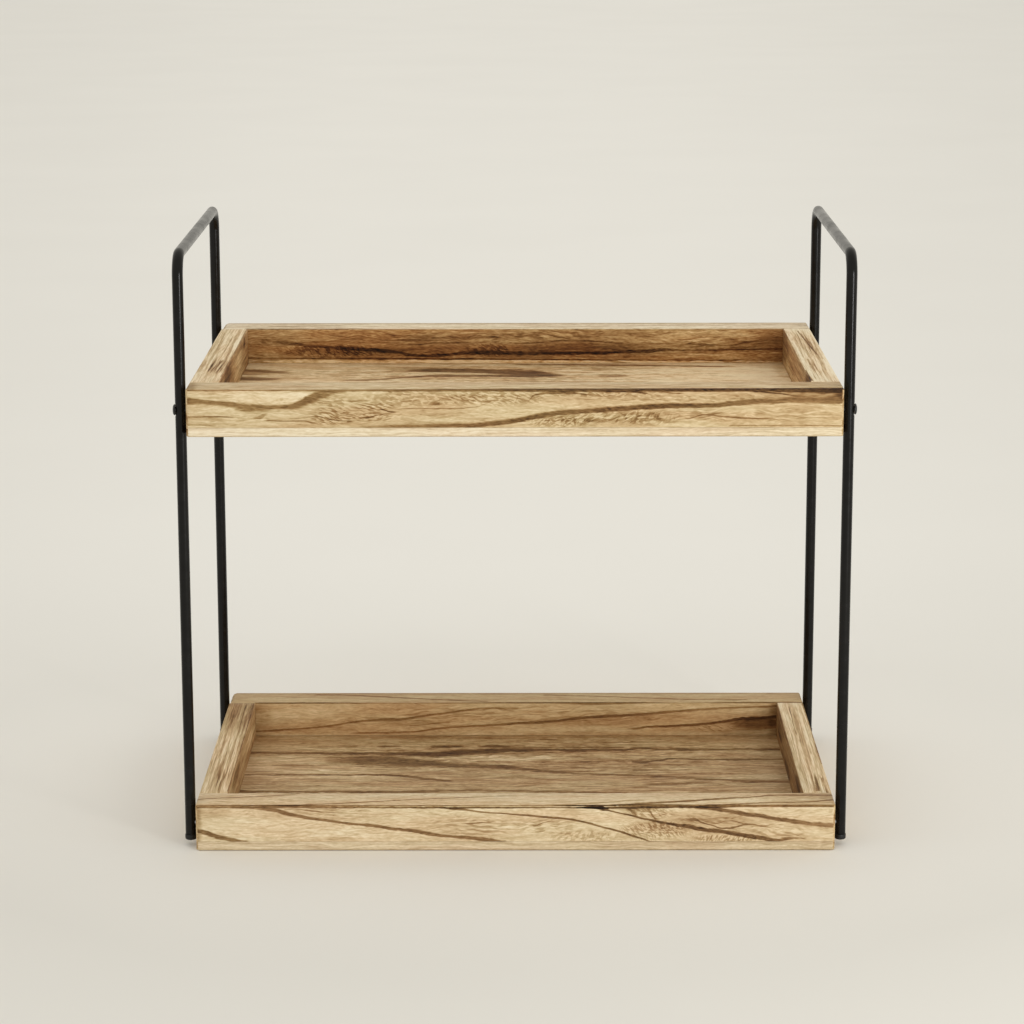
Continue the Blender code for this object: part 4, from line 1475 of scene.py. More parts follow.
def upper_floor() -> tuple[Patch, ...]:
    """Gives the upper tray's floor panel its grain."""
    back = Band((
        ((0, 870, 20, 400), (70, 830, 20, 350), (100, 820, 10, 0)),
        ((270, 860, 10, 0), (310, 860, 20, 420), (360, 860, 35, 600), (450, 840, 35, 600),
         (520, 810, 50, 600), (580, 770, 20, 400), (610, 760, 10, 0)),
    ))
    edge = Band((
        ((460, 980, 6, 0), (520, 970, 10, 450), (700, 955, 12, 500), (880, 930, 11, 450), (930, 925, 6, 0)),
    ))
    middle = Band((
        ((0, 710, 30, 400), (60, 700, 20, 300), (90, 700, 10, 0)),
        ((170, 680, 8, 0), (200, 680, 12, 300), (250, 690, 15, 400), (300, 730, 15, 450),
         (380, 760, 20, 500), (450, 760, 20, 500), (560, 750, 20, 400), (600, 750, 10, 0)),
        ((640, 760, 8, 0), (660, 760, 20, 350), (690, 750, 20, 350), (720, 750, 8, 0)),
    ))
    front = Band((((0, 300, 15, 400), (300, 330, 15, 450), (600, 300, 20, 450), (1000, 360, 15, 400)),))
    near = Band((((0, 120, 12, 350), (400, 100, 15, 400), (700, 140, 20, 450), (1000, 120, 12, 400)),))
    floor = Patch(
        Face.TOP, base=0.08, mottle=0.1, ember=0.45, bands=(back, edge, middle, front, near),
        scorches_and_shade=(
            ScorchAndShade((0.6, 0.84), (0.05, 0.08), -0.08), ScorchAndShade((0.84, 0.78), (0.26, 0.26), -0.16),
            ScorchAndShade((0.1, 0.67), (0.3, 0.03), -0.1), ScorchAndShade((0.0, 0.83), (0.09, 0.07), 0.26),
            ScorchAndShade((0.0, 0.7), (0.08, 0.06), 0.26), ScorchAndShade((0.45, 0.84), (0.17, 0.12), 0.01),
            ScorchAndShade((0.32, 0.89), (0.1, 0.05), 0.16), ScorchAndShade((0.68, 0.9), (0.1, 0.05), 0.16),
            # The dark strip along the right end is the right end rail's painted shadow.
            ScorchAndShade((1.0, 0.85), (0.03, 0.2), 0.16),
        ),
        strokes=(
            Strokes((0.5, 0.5), (0.8, 0.8), 0.0, 0.16, 0.022, 0.0024, 0.65),
            Strokes((0.5, 0.8), (0.6, 0.3), 4.0, 0.14, 0.006, 0.003, 0.6),
        ),
        along=OPENING_X, across=OPENING_Y)
    return floor, panel_edge(0.03)


def lower_floor() -> tuple[Patch, ...]:
    """Gives the lower tray's floor panel its grain."""
    main = Band((
        ((0, 800, 10, 450), (200, 790, 10, 500), (300, 785, 18, 600), (340, 780, 24, 640),
         (400, 800, 28, 660), (460, 820, 24, 640), (500, 830, 16, 600), (700, 825, 10, 550),
         (730, 850, 10, 500), (780, 835, 10, 500), (1000, 835, 10, 500)),
    ), under=0.6, over=0.6, ragged=0.6)
    lenses = Band((
        ((240, 870, 8, 400), (260, 870, 12, 500), (280, 870, 8, 300)),
        ((340, 870, 8, 400), (370, 870, 14, 600), (400, 870, 8, 300)),
        ((430, 870, 8, 400), (460, 870, 13, 550), (500, 860, 8, 400), (700, 860, 8, 400)),
    ))
    tongue = Band((
        ((110, 720, 20, 0), (160, 720, 40, 280), (250, 710, 50, 450), (330, 680, 35, 500),
         (400, 655, 18, 500), (480, 640, 18, 500), (520, 610, 15, 450), (580, 580, 12, 400),
         (600, 570, 10, 400), (700, 550, 10, 400), (800, 520, 10, 400), (900, 490, 10, 400),
         (1000, 470, 10, 350)),
    ), under=0.6, over=0.4, ragged=0.6)
    right = Band((
        ((0, 555, 8, 450), (200, 555, 8, 500), (270, 550, 9, 500), (320, 520, 9, 450), (380, 490, 8, 350)),
        ((720, 690, 8, 500), (770, 710, 9, 520), (790, 730, 9, 500), (850, 720, 9, 500), (1000, 720, 9, 450)),
    ))
    front = Band((
        ((0, 375, 9, 500), (150, 370, 9, 500), (300, 370, 9, 450), (380, 385, 9, 400), (500, 380, 9, 400),
         (700, 360, 9, 350)),
        ((720, 445, 7, 0), (750, 450, 10, 350), (780, 455, 12, 400), (850, 460, 9, 300), (890, 460, 6, 0)),
    ))
    near = Band((((0, 200, 12, 400), (300, 220, 12, 400), (600, 180, 15, 450), (1000, 240, 12, 400)),))
    dash = Band((((50, 660, 8, 200), (120, 655, 8, 200)), ((720, 605, 8, 400), (780, 605, 6, 350))))
    floor = Patch(
        Face.TOP, base=0.25, mottle=0.12, ember=0.2, bands=(main, lenses, tongue, right, front, near, dash),
        scorches_and_shade=(
            ScorchAndShade((0.47, 0.73), (0.15, 0.05), -0.14), ScorchAndShade((0.5, 1.0), (0.9, 0.12), 0.02),
            ScorchAndShade((0.08, 0.64), (0.22, 0.2), -0.1), ScorchAndShade((0.24, 0.71), (0.1, 0.06), 0.08),
            ScorchAndShade((0.7, 0.78), (0.2, 0.04), -0.04),
        ),
        strokes=(
            Strokes((0.5, 0.5), (0.8, 0.8), 0.0, 0.15, 0.022, 0.0024, 0.6),
            Strokes((0.5, 0.8), (0.6, 0.3), 4.0, 0.12, 0.006, 0.003, 0.55),
        ),
        along=OPENING_X, across=OPENING_Y)
    return floor, panel_edge(0.155)


def panel_edge(base: float) -> Patch:
    """Gives a panel's front edge its pale straight grain."""
    return Patch(
        Face.FRONT, base=base, mottle=0.06, ember=-0.12,
        bands=(Band((((0, 50, 60, 180), (1000, 50, 60, 180)),)),),
        scorches_and_shade=(ScorchAndShade((0.5, 1.0), (0.9, 0.5), 0.06), ScorchAndShade((0.85, 0.4), (0.4, 1.5), 0.07)),
        strokes=(Strokes((0.5, 0.5), (0.9, 1.6), 0.0, 0.1, 0.05, 0.0007, 0.6),),
        contrast=0.6)


def end_grain(tier: Tier, side: Side) -> tuple[Patch, ...]:
    """Gives an end rail its grain.

    Args:
        tier: Its tray.
        side: Its end.

    Returns:
        Its patches.
    """
    low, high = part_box(f"{tier.value}_{side.name.lower()}_end_rail")
    across = (low.x, high.x) if side is Side.LEFT else (high.x, low.x)
    inner = Face.RIGHT if side is Side.LEFT else Face.LEFT
    if (tier, side) == (Tier.UPPER, Side.LEFT):
        return (
            Patch(
                Face.TOP, base=0.08, mottle=0.07, ember=0.16,
                bands=(
                    Band((((100, 970, 30, 300), (500, 980, 30, 500), (1000, 980, 30, 500)),)),
                    Band((
                        ((170, 420, 20, 0), (210, 420, 30, 400), (300, 430, 30, 400), (350, 430, 20, 0)),
                    )),
                ),
                scorches_and_shade=(ScorchAndShade((0.3, 0.8), (0.14, 0.24), 0.14), ScorchAndShade((0.28, 0.08), (0.14, 0.14), 0.2)),
                strokes=(
                    Strokes((0.28, 0.62), (0.16, 0.42), 1.5, 0.4, 0.045, 0.0012, 0.55, 0.0),
                    Strokes((0.6, 0.5), (0.6, 0.8), -0.5, 0.22, 0.09, 0.0016, 0.7, 0.0),
                ),
                across=across),
            Patch(
                inner, base=0.42, mottle=0.12, ember=0.5,
                scorches_and_shade=(
                    ScorchAndShade((0.27, 0.75), (0.16, 0.35), 0.25), ScorchAndShade((0.62, 0.5), (0.2, 0.5), -0.14),
                    ScorchAndShade((0.86, 0.8), (0.05, 0.2), 0.25),
                )),
        )
    if (tier, side) == (Tier.UPPER, Side.RIGHT):
        return (
            Patch(
                Face.TOP, base=0.01, mottle=0.07, ember=0.12,
                bands=(
                    Band((
                        ((450, 270, 20, 0), (500, 280, 30, 350), (650, 360, 30, 500), (750, 400, 30, 500),
                         (850, 450, 30, 500), (950, 500, 30, 450)),
                    )),
                    Band((
                        ((20, 970, 60, 700), (200, 980, 40, 500)),
                        ((300, 700, 30, 300), (400, 700, 30, 300)),
                    )),
                ),
                strokes=(
                    Strokes((0.7, 0.45), (0.3, 0.4), 1.0, 0.3, 0.09, 0.001, 0.45, 0.0),
                    Strokes((0.2, 0.6), (0.22, 0.4), 1.0, 0.28, 0.07, 0.001, 0.45, 0.0),
                    Strokes((0.5, 0.5), (0.6, 0.8), 0.5, 0.2, 0.1, 0.0016, 0.7, 0.0),
                ),
                across=across),
            Patch(
                inner, base=0.36, mottle=0.12, ember=0.5,
                scorches_and_shade=(
                    ScorchAndShade((0.08, 0.5), (0.14, 0.9), 0.28), ScorchAndShade((0.92, 0.6), (0.2, 0.6), 0.22),
                    ScorchAndShade((0.5, 0.5), (0.2, 0.5), -0.1),
                )),
        )
    if (tier, side) == (Tier.LOWER, Side.LEFT):
        return (
            Patch(
                Face.TOP, base=0.16, mottle=0.08, ember=0.12,
                bands=(Band((((20, 970, 30, 400), (600, 980, 30, 500), (1000, 970, 40, 500)),)),),
                scorches_and_shade=(ScorchAndShade((0.92, 0.6), (0.34, 1.1), 0.26), ScorchAndShade((0.42, 0.5), (0.26, 0.6), -0.08)),
                strokes=(
                    Strokes((0.14, 0.7), (0.2, 0.4), -1.0, 0.34, 0.05, 0.0013, 0.6, 0.0),
                    Strokes((0.5, 0.5), (0.6, 0.8), -0.5, 0.22, 0.09, 0.0016, 0.7, 0.0),
                ),
                across=across),
            Patch(
                inner, base=0.38, mottle=0.12, ember=0.3,
                scorches_and_shade=(
                    ScorchAndShade((0.27, 0.75), (0.18, 0.25), 0.25), ScorchAndShade((0.75, 0.45), (0.14, 0.3), -0.15),
                )),
        )
    return (
        Patch(
            Face.TOP, base=0.09, mottle=0.08, ember=0.05,
            bands=(
                Band((
                    ((20, 450, 60, 450), (150, 400, 50, 300), (200, 400, 20, 0)),
                    ((600, 620, 10, 0), (650, 620, 15, 400), (950, 580, 15, 400)),
                )),
                Band((((0, 150, 30, 400), (150, 180, 30, 350)), ((300, 20, 30, 400), (1000, 20, 30, 450)))),
            ),
            strokes=(
                Strokes((0.1, 0.4), (0.14, 0.5), 1.0, 0.28, 0.04, 0.0013, 0.55, 0.0),
                Strokes((0.5, 0.5), (0.6, 0.8), 0.5, 0.22, 0.1, 0.0016, 0.7, 0.0),
            ),
            across=across),
        Patch(
            inner, base=0.56, mottle=0.12, ember=0.3,
            scorches_and_shade=(
                ScorchAndShade((0.16, 0.75), (0.12, 0.25), 0.2), ScorchAndShade((0.55, 0.15), (0.14, 0.22), 0.2),
                ScorchAndShade((0.85, 0.45), (0.12, 0.3), 0.2),
            )),
    )


@dataclass
class Tray:
    """One tray: four rails on a floor panel, with dowels in the corners and nails from below.

    Attributes:
        tier: Which tray.
        lines: The growth line group.
        bore_gap: Play between a nail's head and its seat.
        nail_diameter: Diameter of a nail's shank.
        nail_head: Diameter of a nail's head.
        nail_head_height: Height of a nail's head.
        nail_length: Length of a nail.
        nail_reach_x: Place of the outer nails along a long rail.
        end_nail_x: Place of the end rails' nails.
    """

    tier: Tier
    lines: bpy.types.NodeTree
    bore_gap: float = 0.0003
    nail_diameter: float = 0.0014
    nail_head: float = 0.0030
    nail_head_height: float = 0.0007
    nail_length: float = 0.0153
    nail_reach_x: float = 0.1295
    end_nail_x: float = 0.1694

    def build(self) -> None:
        """Makes the five boards."""
        upper = self.tier is Tier.UPPER
        seed = 3.0 if upper else 11.0
        grains = {"front_rail": upper_front() if upper else lower_front(),
                  "rear_rail": upper_rear() if upper else lower_rear(),
                  "floor_panel": upper_floor() if upper else lower_floor(),
                  "left_end_rail": end_grain(self.tier, Side.LEFT),
                  "right_end_rail": end_grain(self.tier, Side.RIGHT)}
        contrasts = {"front_rail": 0.80, "rear_rail": 1.25 if upper else 0.60, "floor_panel": 1.05,
                     "left_end_rail": 1.2, "right_end_rail": 1.2}
        for index, (part, patches) in enumerate(grains.items()):
            end = part.endswith("end_rail")
            wood = TorchedWood(f"{self.tier.value}_{part}", Axis.Y if end else Axis.X, patches,
                               seed + index * 1.7, lines=8.0 if part == "floor_panel" else 3.0,
                               stretch=3.5 if end else 1.0, contrast=contrasts[part])
            board = self.board(part, wood)
            board.build().finish(wood.material(self.lines), board.slot, wood.node)

    def board(self, part: str, wood: TorchedWood) -> Board:
        """Gives one of the five boards the edges that it has.

        Args:
            part: The board, by the end of its node's name.
            wood: Its finish.

        Returns:
            The board, not yet sawn.
        """
        if part == "floor_panel":
            return Board(wood, "panel_wood", ((-1, -1), (1, -1), (-1, 1), (1, 1)), lower_arris=0.0006,
                         ease=0.0001, seat=0.0, bores=self.nail_seats(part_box(wood.node)[0].z))
        if part == "front_rail":
            return Board(wood, "torched_wood", ((-1, -1), (1, -1)), OPENING_X[1])
        if part == "rear_rail":
            return Board(wood, "torched_wood", opening=OPENING_X[1], shoulders=(0.0030, 0.0008))
        return Board(wood, "torched_wood", butt=0.0002)

    def nail_spots(self) -> dict[str, tuple[float, float]]:
        """Gives where each nail goes in, by its part of the node's name."""
        columns = (("left", -self.nail_reach_x), ("middle", 0.0), ("right", self.nail_reach_x))
        spots = {f"{row.name.lower()}_{column}": (x, row.value * RAIL_MIDDLE_Y)
                 for row in Row for column, x in columns}
        for side in Side:
            spots[f"{side.name.lower()}_end"] = (side.value * self.end_nail_x, 0.0)
        return spots

    def nail_seats(self, base: float) -> list[Primitive]:
        """Gives the seats that the nail heads are sunk in.

        Args:
            base: Height of the panel's underside.

        Returns:
            The cutting calls.
        """
        low, high = base - 0.001, base + self.nail_head_height + self.bore_gap
        return [rod_bore(self.nail_head + 2 * self.bore_gap, Vector((x, y, low)), Vector((x, y, high)))
                for x, y in self.nail_spots().values()]

    def nails(self, material: bpy.types.Material, first: Workpiece | None) -> Workpiece:
        """Makes the tray's nails as copies of one.

        Args:
            material: Their finish.
            first: A finished nail of the other tray, or None to model one.

        Returns:
            One of the nails.
        """
        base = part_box(f"{self.tier.value}_floor_panel")[0].z
        shank, head = self.nail_diameter / 2, self.nail_head / 2
        profile = [(0.0, self.nail_length), (0.00012, self.nail_length - 0.0002),
                   (shank, self.nail_length - 0.002),
                   (shank, self.nail_head_height + 0.0002), (shank + 0.0002, self.nail_head_height),
                   (head - 0.0001, self.nail_head_height), (head, self.nail_head_height - 0.0001),
                   (head, 0.00018), (head - 0.00012, 0.00004), (head - 0.0004, 0.0), (0.0, 0.0)]
        nail = first
        for spot, (x, y) in self.nail_spots().items():
            node = f"{self.tier.value}_{spot}_nail"
            nail = placed_piece(nail, f"{node}_shank", (x, y, base),
                                lambda name, foot: turned_piece(name, profile, foot, Axis.Z, 24))
            nail.finish(material, "nail_steel", node)
        return nail


@dataclass
class RodFrame:
    """One bent rod with its screw and leg caps.

    Attributes:
        side: Which end of the shelf.
        rod_radius: Radius of the rod.
        leg_x: Distance of the legs' axes from the middle, along X.
        leg_y: The same along Y.
        leg_bottom: Height of the legs' ends, under which the caps sit.
        top: Height of the rod's top.
        bend_radius: Radius of the bends, at the rod's axis.
        spot_face: Depth of the flat that the screw's head sits on.
        spot_face_diameter: Diameter of that flat.
        upper_height: Height of the upper tray's fixings.
        lower_height: Height of the lower tray's fixings.
        bore: Diameter of the bores for the screw, the pins and the caps' stems.
        bore_inside: Where a cross bore starts, from the leg's axis outwards.
        bore_blind: Where a pin's bore ends.
        bore_outside: Where the screw's bore ends, clear of the leg.
        bore_top: Height where a stem's bore ends.
        head_radius: Radius of the screw's head.
        head_height: Height of the screw's head.
        head_gap: Play under the head.
        crown_height: How much lower the head is at its rim.
        screw_tip: Distance of the screw's tip from the middle, along X.
        shank_radius: Radius of the screw's shank and of a cap's stem.
        recess: Length and width of each stroke of the cross recess.
        recess_depth: Depth of the recess.
        cap_bottom: Height of the caps' undersides.
        cap_height: Height of a cap without its stem.
        cap_lip: How much wider than the leg a cap is.
        cap_edge: Radius of a cap's lower edge.
        stem_length: Length of a cap's stem.
    """

    side: Side
    rod_radius: float = 0.003
    leg_x: float = 0.1814
    leg_y: float = RAIL_MIDDLE_Y
    leg_bottom: float = 0.0063
    top: float = 0.334
    bend_radius: float = 0.012
    spot_face: float = 0.0004
    spot_face_diameter: float = 0.0074
    upper_height: float = 0.24695
    lower_height: float = 0.01295
    bore: float = 0.0036
    bore_inside: float = -0.004
    bore_blind: float = 0.0004
    bore_outside: float = 0.005
    bore_top: float = 0.0098
    head_radius: float = 0.0030
    head_height: float = 0.0014
    head_gap: float = 0.0003
    crown_height: float = 0.0009
    screw_tip: float = 0.1595
    shank_radius: float = 0.0015
    recess: tuple[float, float] = (0.0028, 0.0008)
    recess_depth: float = 0.0008
    cap_bottom: float = 0.003
    cap_height: float = 0.003
    cap_lip: float = 0.00025
    cap_edge: float = 0.0008
    stem_length: float = 0.0035

    def rod(self, material: bpy.types.Material) -> None:
        """Bends the rod: up the front leg, over the top, down the rear leg.

        Args:
            material: Its finish.
        """
        node = f"{self.side.name.lower()}_frame"
        x = self.side.value * self.leg_x
        straight = self.top - self.rod_radius - self.bend_radius
        start = (x, -self.leg_y, self.leg_bottom)
        piece = Workpiece(f"{node}_rod", lambda: bpy.ops.mesh.primitive_circle_add(
            vertices=36, radius=self.rod_radius, fill_type="NOTHING", location=start))
        piece.open()
        piece.everything()
        self.pull((0.0, 0.0, straight - self.leg_bottom))
        bpy.ops.mesh.spin(steps=18, angle=math.pi / 2, center=(x, -self.leg_y + self.bend_radius, straight),
                          axis=(1.0, 0.0, 0.0))
        self.pull((0.0, 2 * (self.leg_y - self.bend_radius), 0.0))
        bpy.ops.mesh.spin(steps=18, angle=math.pi / 2, center=(x, self.leg_y - self.bend_radius, straight),
                          axis=(1.0, 0.0, 0.0))
        self.pull((0.0, 0.0, self.leg_bottom - straight))
        for sign in (-1, 1):
            piece.pick("EDGE", lambda edge: edge.is_boundary and edge.verts[0].co.y * sign > 0)
            bpy.ops.mesh.edge_face_add()
        piece.tidy()
        piece.close()
        piece.bore(self.cuts())
        piece.finish(material, "black_frame", node)

    @staticmethod
    def pull(way: Triple) -> None:
        """Extrudes the selected ring of edges."""
        bpy.ops.mesh.extrude_edges_move(TRANSFORM_OT_translate={"value": way})

    def cuts(self) -> list[Primitive]:
        """Gives the rod's spot faces and bores.

        Returns:
            The cutting calls.
        """
        sign = self.side.value
        seat = sign * (self.leg_x + self.rod_radius - self.spot_face)
        reaches = (self.bore_inside, self.bore_blind, self.bore_outside)
        inside, blind, outside = (Vector((sign * (self.leg_x + reach), 0.0, 0.0)) for reach in reaches)
        front = Vector((0.0, -self.leg_y, self.upper_height))
        calls = [rod_bore(self.spot_face_diameter, front + Vector((seat, 0.0, 0.0)), front + outside),
                 rod_bore(self.bore, front + inside, front + outside)]
        for y, z in ((self.leg_y, self.upper_height), (-self.leg_y, self.lower_height),
                     (self.leg_y, self.lower_height)):
            spot = Vector((0.0, y, z))
            calls.append(rod_bore(self.bore, spot + inside, spot + blind))
        for row in Row:
            leg = Vector((sign * self.leg_x, row.value * self.leg_y, 0.0))
            calls.append(rod_bore(self.bore, leg + Vector((0.0, 0.0, self.leg_bottom - 0.001)),
                                  leg + Vector((0.0, 0.0, self.bore_top))))
        return calls

    def screw(self, material: bpy.types.Material, first: Workpiece | None) -> Workpiece:
        """Makes the pan head screw of this frame's front leg.

        Args:
            material: Its finish.
            first: The finished screw of the other frame, or None to model one.

        Returns:
            The screw.
        """
        node = f"{self.side.name.lower()}_front_upper_screw"
        if first is None:
            piece = self.pan_screw(f"{node}_pan")
        else:
            piece = first.copy(f"{node}_pan")
            piece.move((0.0, -2 * self.leg_y, 0.0), 180.0)
        piece.finish(material, "black_screw", node)
        return piece

    def pan_screw(self, name: str) -> Workpiece:
        """Models the pan head screw with its cross recess.

        Args:
            name: Its name.

        Returns:
            The screw.
        """
        sign = self.side.value
        head_base = self.leg_x + self.rod_radius - self.spot_face + self.head_gap
        under = head_base - self.screw_tip
        crown = under + self.head_height
        profile = [(0.0, crown)]
        for step in range(1, 9):
            angle = math.radians(90.0 * step / 8)
            drop = self.crown_height * (1.0 - math.cos(angle))
            profile.append((self.head_radius * math.sin(angle), crown - drop))
        profile += [(self.head_radius, under + 0.0001), (self.head_radius - 0.0001, under),
                    (self.shank_radius, under), (self.shank_radius, 0.003), (0.0002, 0.0), (0.0, 0.0)]
        mirrored = [(radius, sign * height) for radius, height in profile]
        tip = Vector((sign * self.screw_tip, -self.leg_y, self.upper_height))
        piece = turned_piece(name, mirrored, tip, Axis.X, 32)
        top = (sign * (head_base + self.head_height), -self.leg_y, self.upper_height)
        for wide, tall in (self.recess, self.recess[::-1]):
            piece.bore([lambda: bpy.ops.mesh.primitive_cube_add(
                size=1.0, location=top, scale=(2 * self.recess_depth, wide, tall))])
        return piece

    def caps(self, material: bpy.types.Material, first: Workpiece | None) -> Workpiece:
        """Makes this frame's two leg caps.

        Args:
            material: Their finish.
            first: A finished cap of the other frame, or None to model one.

        Returns:
            One of the caps.
        """
        outer, edge, height = self.rod_radius + self.cap_lip, self.cap_edge, self.cap_height
        stem, stem_top = self.shank_radius, self.cap_height + self.stem_length
        profile = [(0.0, stem_top), (stem - 0.0002, stem_top), (stem, stem_top - 0.0002), (stem, height),
                   (outer - 0.0002, height), (outer - 0.00006, height - 0.00006), (outer, height - 0.0002)]
        for step in range(9):
            angle = math.radians(90.0 * step / 8)
            profile.append((outer - edge + edge * math.cos(angle), edge - edge * math.sin(angle)))
        profile.append((0.0, 0.0))
        cap = first
        for row in Row:
            node = f"{self.side.name.lower()}_{row.name.lower()}_leg_cap"
            spot = (self.side.value * self.leg_x, row.value * self.leg_y, self.cap_bottom)
            cap = placed_piece(cap, f"{node}_foot", spot,
                               lambda name, foot: turned_piece(name, profile, foot, Axis.Z, 36))
            cap.finish(material, "black_plastic", node)
        return cap


def dress_hidden_fasteners() -> None:
    """Gives the CAD dowels and pins, which stay, their finishes."""
    beech = Timber("beech dowel", (206, 172, 126), (172, 134, 88), Axis.Y).material()
    steel = BrightSteel("drawn steel pin", (186, 187, 190), 0.34, Axis.X).material()
    for name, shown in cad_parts.items():
        material = beech if name.endswith("_dowel") else steel if name.endswith("_pin") else None
        if material:
            for slot in shown.material_slots:
                slot.material = material
            log.info("%s: %s", name, material.name)


@dataclass(frozen=True)
class Studio:
    """The pale floor and the soft lights.

    Attributes:
        middle_tone: Screen colour of the paper behind the shelf.
        near_tone: Its colour in front of the shelf, darker there as painted shade.
        reach: Radius of the floor.
        drop: How far the floor lies below the shelf's underside, clear of it.
        world_level: Strength of the even light from all around.
        window_power: Power of the window light from the front right, in watts.
        window_size: Width and height of the window.
        window_place: Its middle.
        window_aim: Where it faces.
    """

    middle_tone: Colour = (233, 229, 218)
    near_tone: Colour = (219, 215, 204)
    reach: float = 14.0
    drop: float = 0.0002
    world_level: float = 0.96
    window_power: float = 5.2
    window_size: tuple[float, float] = (0.18, 0.44)
    window_place: Triple = (0.80, -1.10, 0.34)
    window_aim: Triple = (0.0, 0.0, 0.20)

    def build(self) -> None:
        """Makes the floor, the world and the window."""
        self.floor()
        self.world()
        self.window()

    def floor(self) -> None:
        """Makes the floor disc, and its paper with painted light and shade: lighter behind and beside the
        shelf, darker in front of it, far off and to the sides.
        """
        first, rim = 0.6, 0.2
        piece = Workpiece("studio_floor", lambda: bpy.ops.mesh.primitive_circle_add(
            vertices=96, radius=first, fill_type="NGON", location=(0.0, 0.0, -self.drop)))
        piece.open()
        piece.everything()
        bpy.ops.mesh.inset(thickness=rim)
        piece.everything()
        bpy.ops.transform.resize(value=(self.reach / first, self.reach / first, 1.0))
        piece.close()
        material, recipe = new_material("studio paper")
        place = recipe.coordinates()
        cloud = recipe.noise(recipe.place(place, (0.3, 0.3, 0.3)), 2.0, 0.5)
        x, y, _ = recipe.split(place)
        # The paper's tone is painted light and shade: darker in front of the shelf, in the distance and
        # towards the sides.
        depth = recipe.fade(y, -0.45, 0.70)
        far = recipe.fade(y, 1.2, 8.0)
        aside = recipe.math("DIVIDE", recipe.math("ABSOLUTE", x), recipe.math("ADD", y, 3.0))
        lit = recipe.math("SUBTRACT", depth, recipe.math("MULTIPLY", far, 0.25))
        lit = recipe.math("SUBTRACT", lit, recipe.fade(aside, 0.03, 0.16, 0.0, 0.50))
        lit = recipe.swing(cloud, 0.3, lit)
        # Painted light that lifts the paper around the shelf.
        beside = recipe.away(recipe.place(place, (0.46, 0.29, 1.0)))
        lit = recipe.math("ADD", lit, recipe.fade(beside, 1.1, 0.55, 0.0, 0.6))
        colour = recipe.ramp(lit, ((0.0, self.near_tone), (1.0, self.middle_tone)))
        recipe.surface(Base_Color=colour, Roughness=0.9, Specular_IOR_Level=0.1)
        piece.shape.data.materials.append(material)
        log.info("studio floor")

    def world(self) -> None:
        """Makes the even surrounding light, which shows as the paper's colour."""
        world = bpy.data.worlds.new("studio air")
        bpy.context.scene.world = world
        world.use_nodes = True
        recipe = Recipe(world.node_tree)
        path = recipe.node("ShaderNodeLightPath").outputs
        seen = recipe.math("MAXIMUM", path["Is Camera Ray"], path["Is Glossy Ray"])
        lit = recipe.node("ShaderNodeBackground", {0: (1.0, 1.0, 1.0, 1.0), 1: self.world_level}).outputs[0]
        shown = recipe.node("ShaderNodeBackground", {0: srgb(*self.middle_tone), 1: 0.9}).outputs[0]
        both = recipe.node("ShaderNodeMixShader", {0: seen, 1: lit, 2: shown}).outputs[0]
        recipe.node("ShaderNodeOutputWorld", {0: both})

    def window(self) -> None:
        """Adds the window light, which the rods mirror as a line of light."""
        light = bpy.data.lights.new("window", "AREA")
        light.shape = "RECTANGLE"
        light.size, light.size_y = self.window_size
        light.energy = self.window_power
        lamp = bpy.data.objects.new("window", light)
        bpy.context.scene.collection.objects.link(lamp)
        lamp.location = self.window_place
        lamp.rotation_euler = (Vector(self.window_aim) - lamp.location).to_track_quat("-Z", "Y").to_euler()
        lamp.visible_camera = False
        log.info("window light: %.1f W", light.energy)


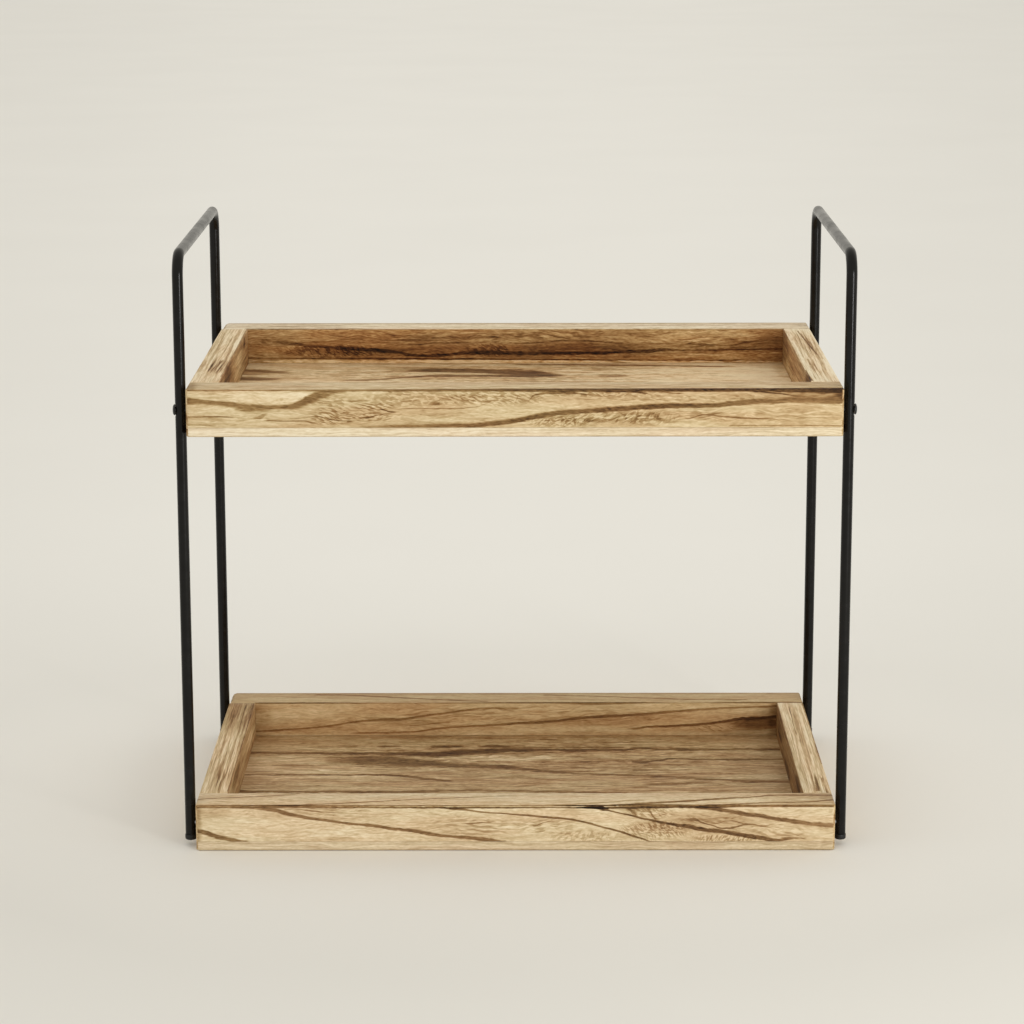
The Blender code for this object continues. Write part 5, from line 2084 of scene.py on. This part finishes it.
@dataclass(frozen=True)
class PhotoCamera:
    """The camera at the photograph's place.

    Attributes:
        place: Its place.
        pitch: How far it looks down, in degrees.
        yaw: How far it is turned to the left, in degrees.
        roll: How far it is tilted about its line of sight, in degrees.
        focal: Focal length, in picture pixels.
        picture: Width of the picture, in pixels.
        film: Width of its film, in millimetres.
    """

    place: Triple = (0.003705, -1.7821, 0.557017)
    pitch: float = 12.342
    yaw: float = 0.181
    roll: float = 0.10
    focal: float = 3142.364
    picture: float = 1024.0
    film: float = 36.0

    def build(self) -> None:
        """Adds the camera and makes it the scene's."""
        data = bpy.data.cameras.new("photo camera")
        data.sensor_fit = "HORIZONTAL"
        data.sensor_width = self.film
        data.lens = self.film * self.focal / self.picture
        data.clip_end = 60.0
        camera = bpy.data.objects.new("photo camera", data)
        bpy.context.scene.collection.objects.link(camera)
        turn = (Matrix.Rotation(math.radians(self.yaw), 4, "Z")
                @ Matrix.Rotation(math.radians(90.0 - self.pitch), 4, "X")
                @ Matrix.Rotation(math.radians(-self.roll), 4, "Z"))
        camera.matrix_world = Matrix.Translation(self.place) @ turn
        bpy.context.scene.camera = camera
        log.info("camera: %.1f mm", data.lens)


def main() -> None:
    """Builds the shelf, its finishes and its studio, in order."""
    logging.basicConfig(level=logging.INFO, format="%(name)s: %(message)s")
    bpy.context.scene.view_settings.view_transform = "Standard"
    PhotoCamera().build()
    Studio().build()
    lines = growth_line_group()
    zinc = BrightSteel("zinc plated nail", (176, 177, 178), 0.42, Axis.Z).material()
    nail = None
    for tier in Tier:
        tray = Tray(tier, lines)
        tray.build()
        nail = tray.nails(zinc, nail)
        log.info("%s done", tier.value)
    powder = Coating("satin black powder coat", (7, 6, 5), 0.21, 0.0007, 0.00001, specular=0.25).material()
    black_zinc = Coating("blackened screw", (26, 26, 26), 0.36, 0.0004, 0.00002, specular=0.6).material()
    plastic = Coating("black moulded cap", (18, 18, 18), 0.48, 0.0005, 0.00002, specular=0.4).material()
    screw = cap = None
    for side in Side:
        rods = RodFrame(side)
        rods.rod(powder)
        screw = rods.screw(black_zinc, screw)
        cap = rods.caps(plastic, cap)
        log.info("%s frame done", side.name.lower())
    dress_hidden_fasteners()
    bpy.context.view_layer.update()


if __name__ == "__main__":
    main()
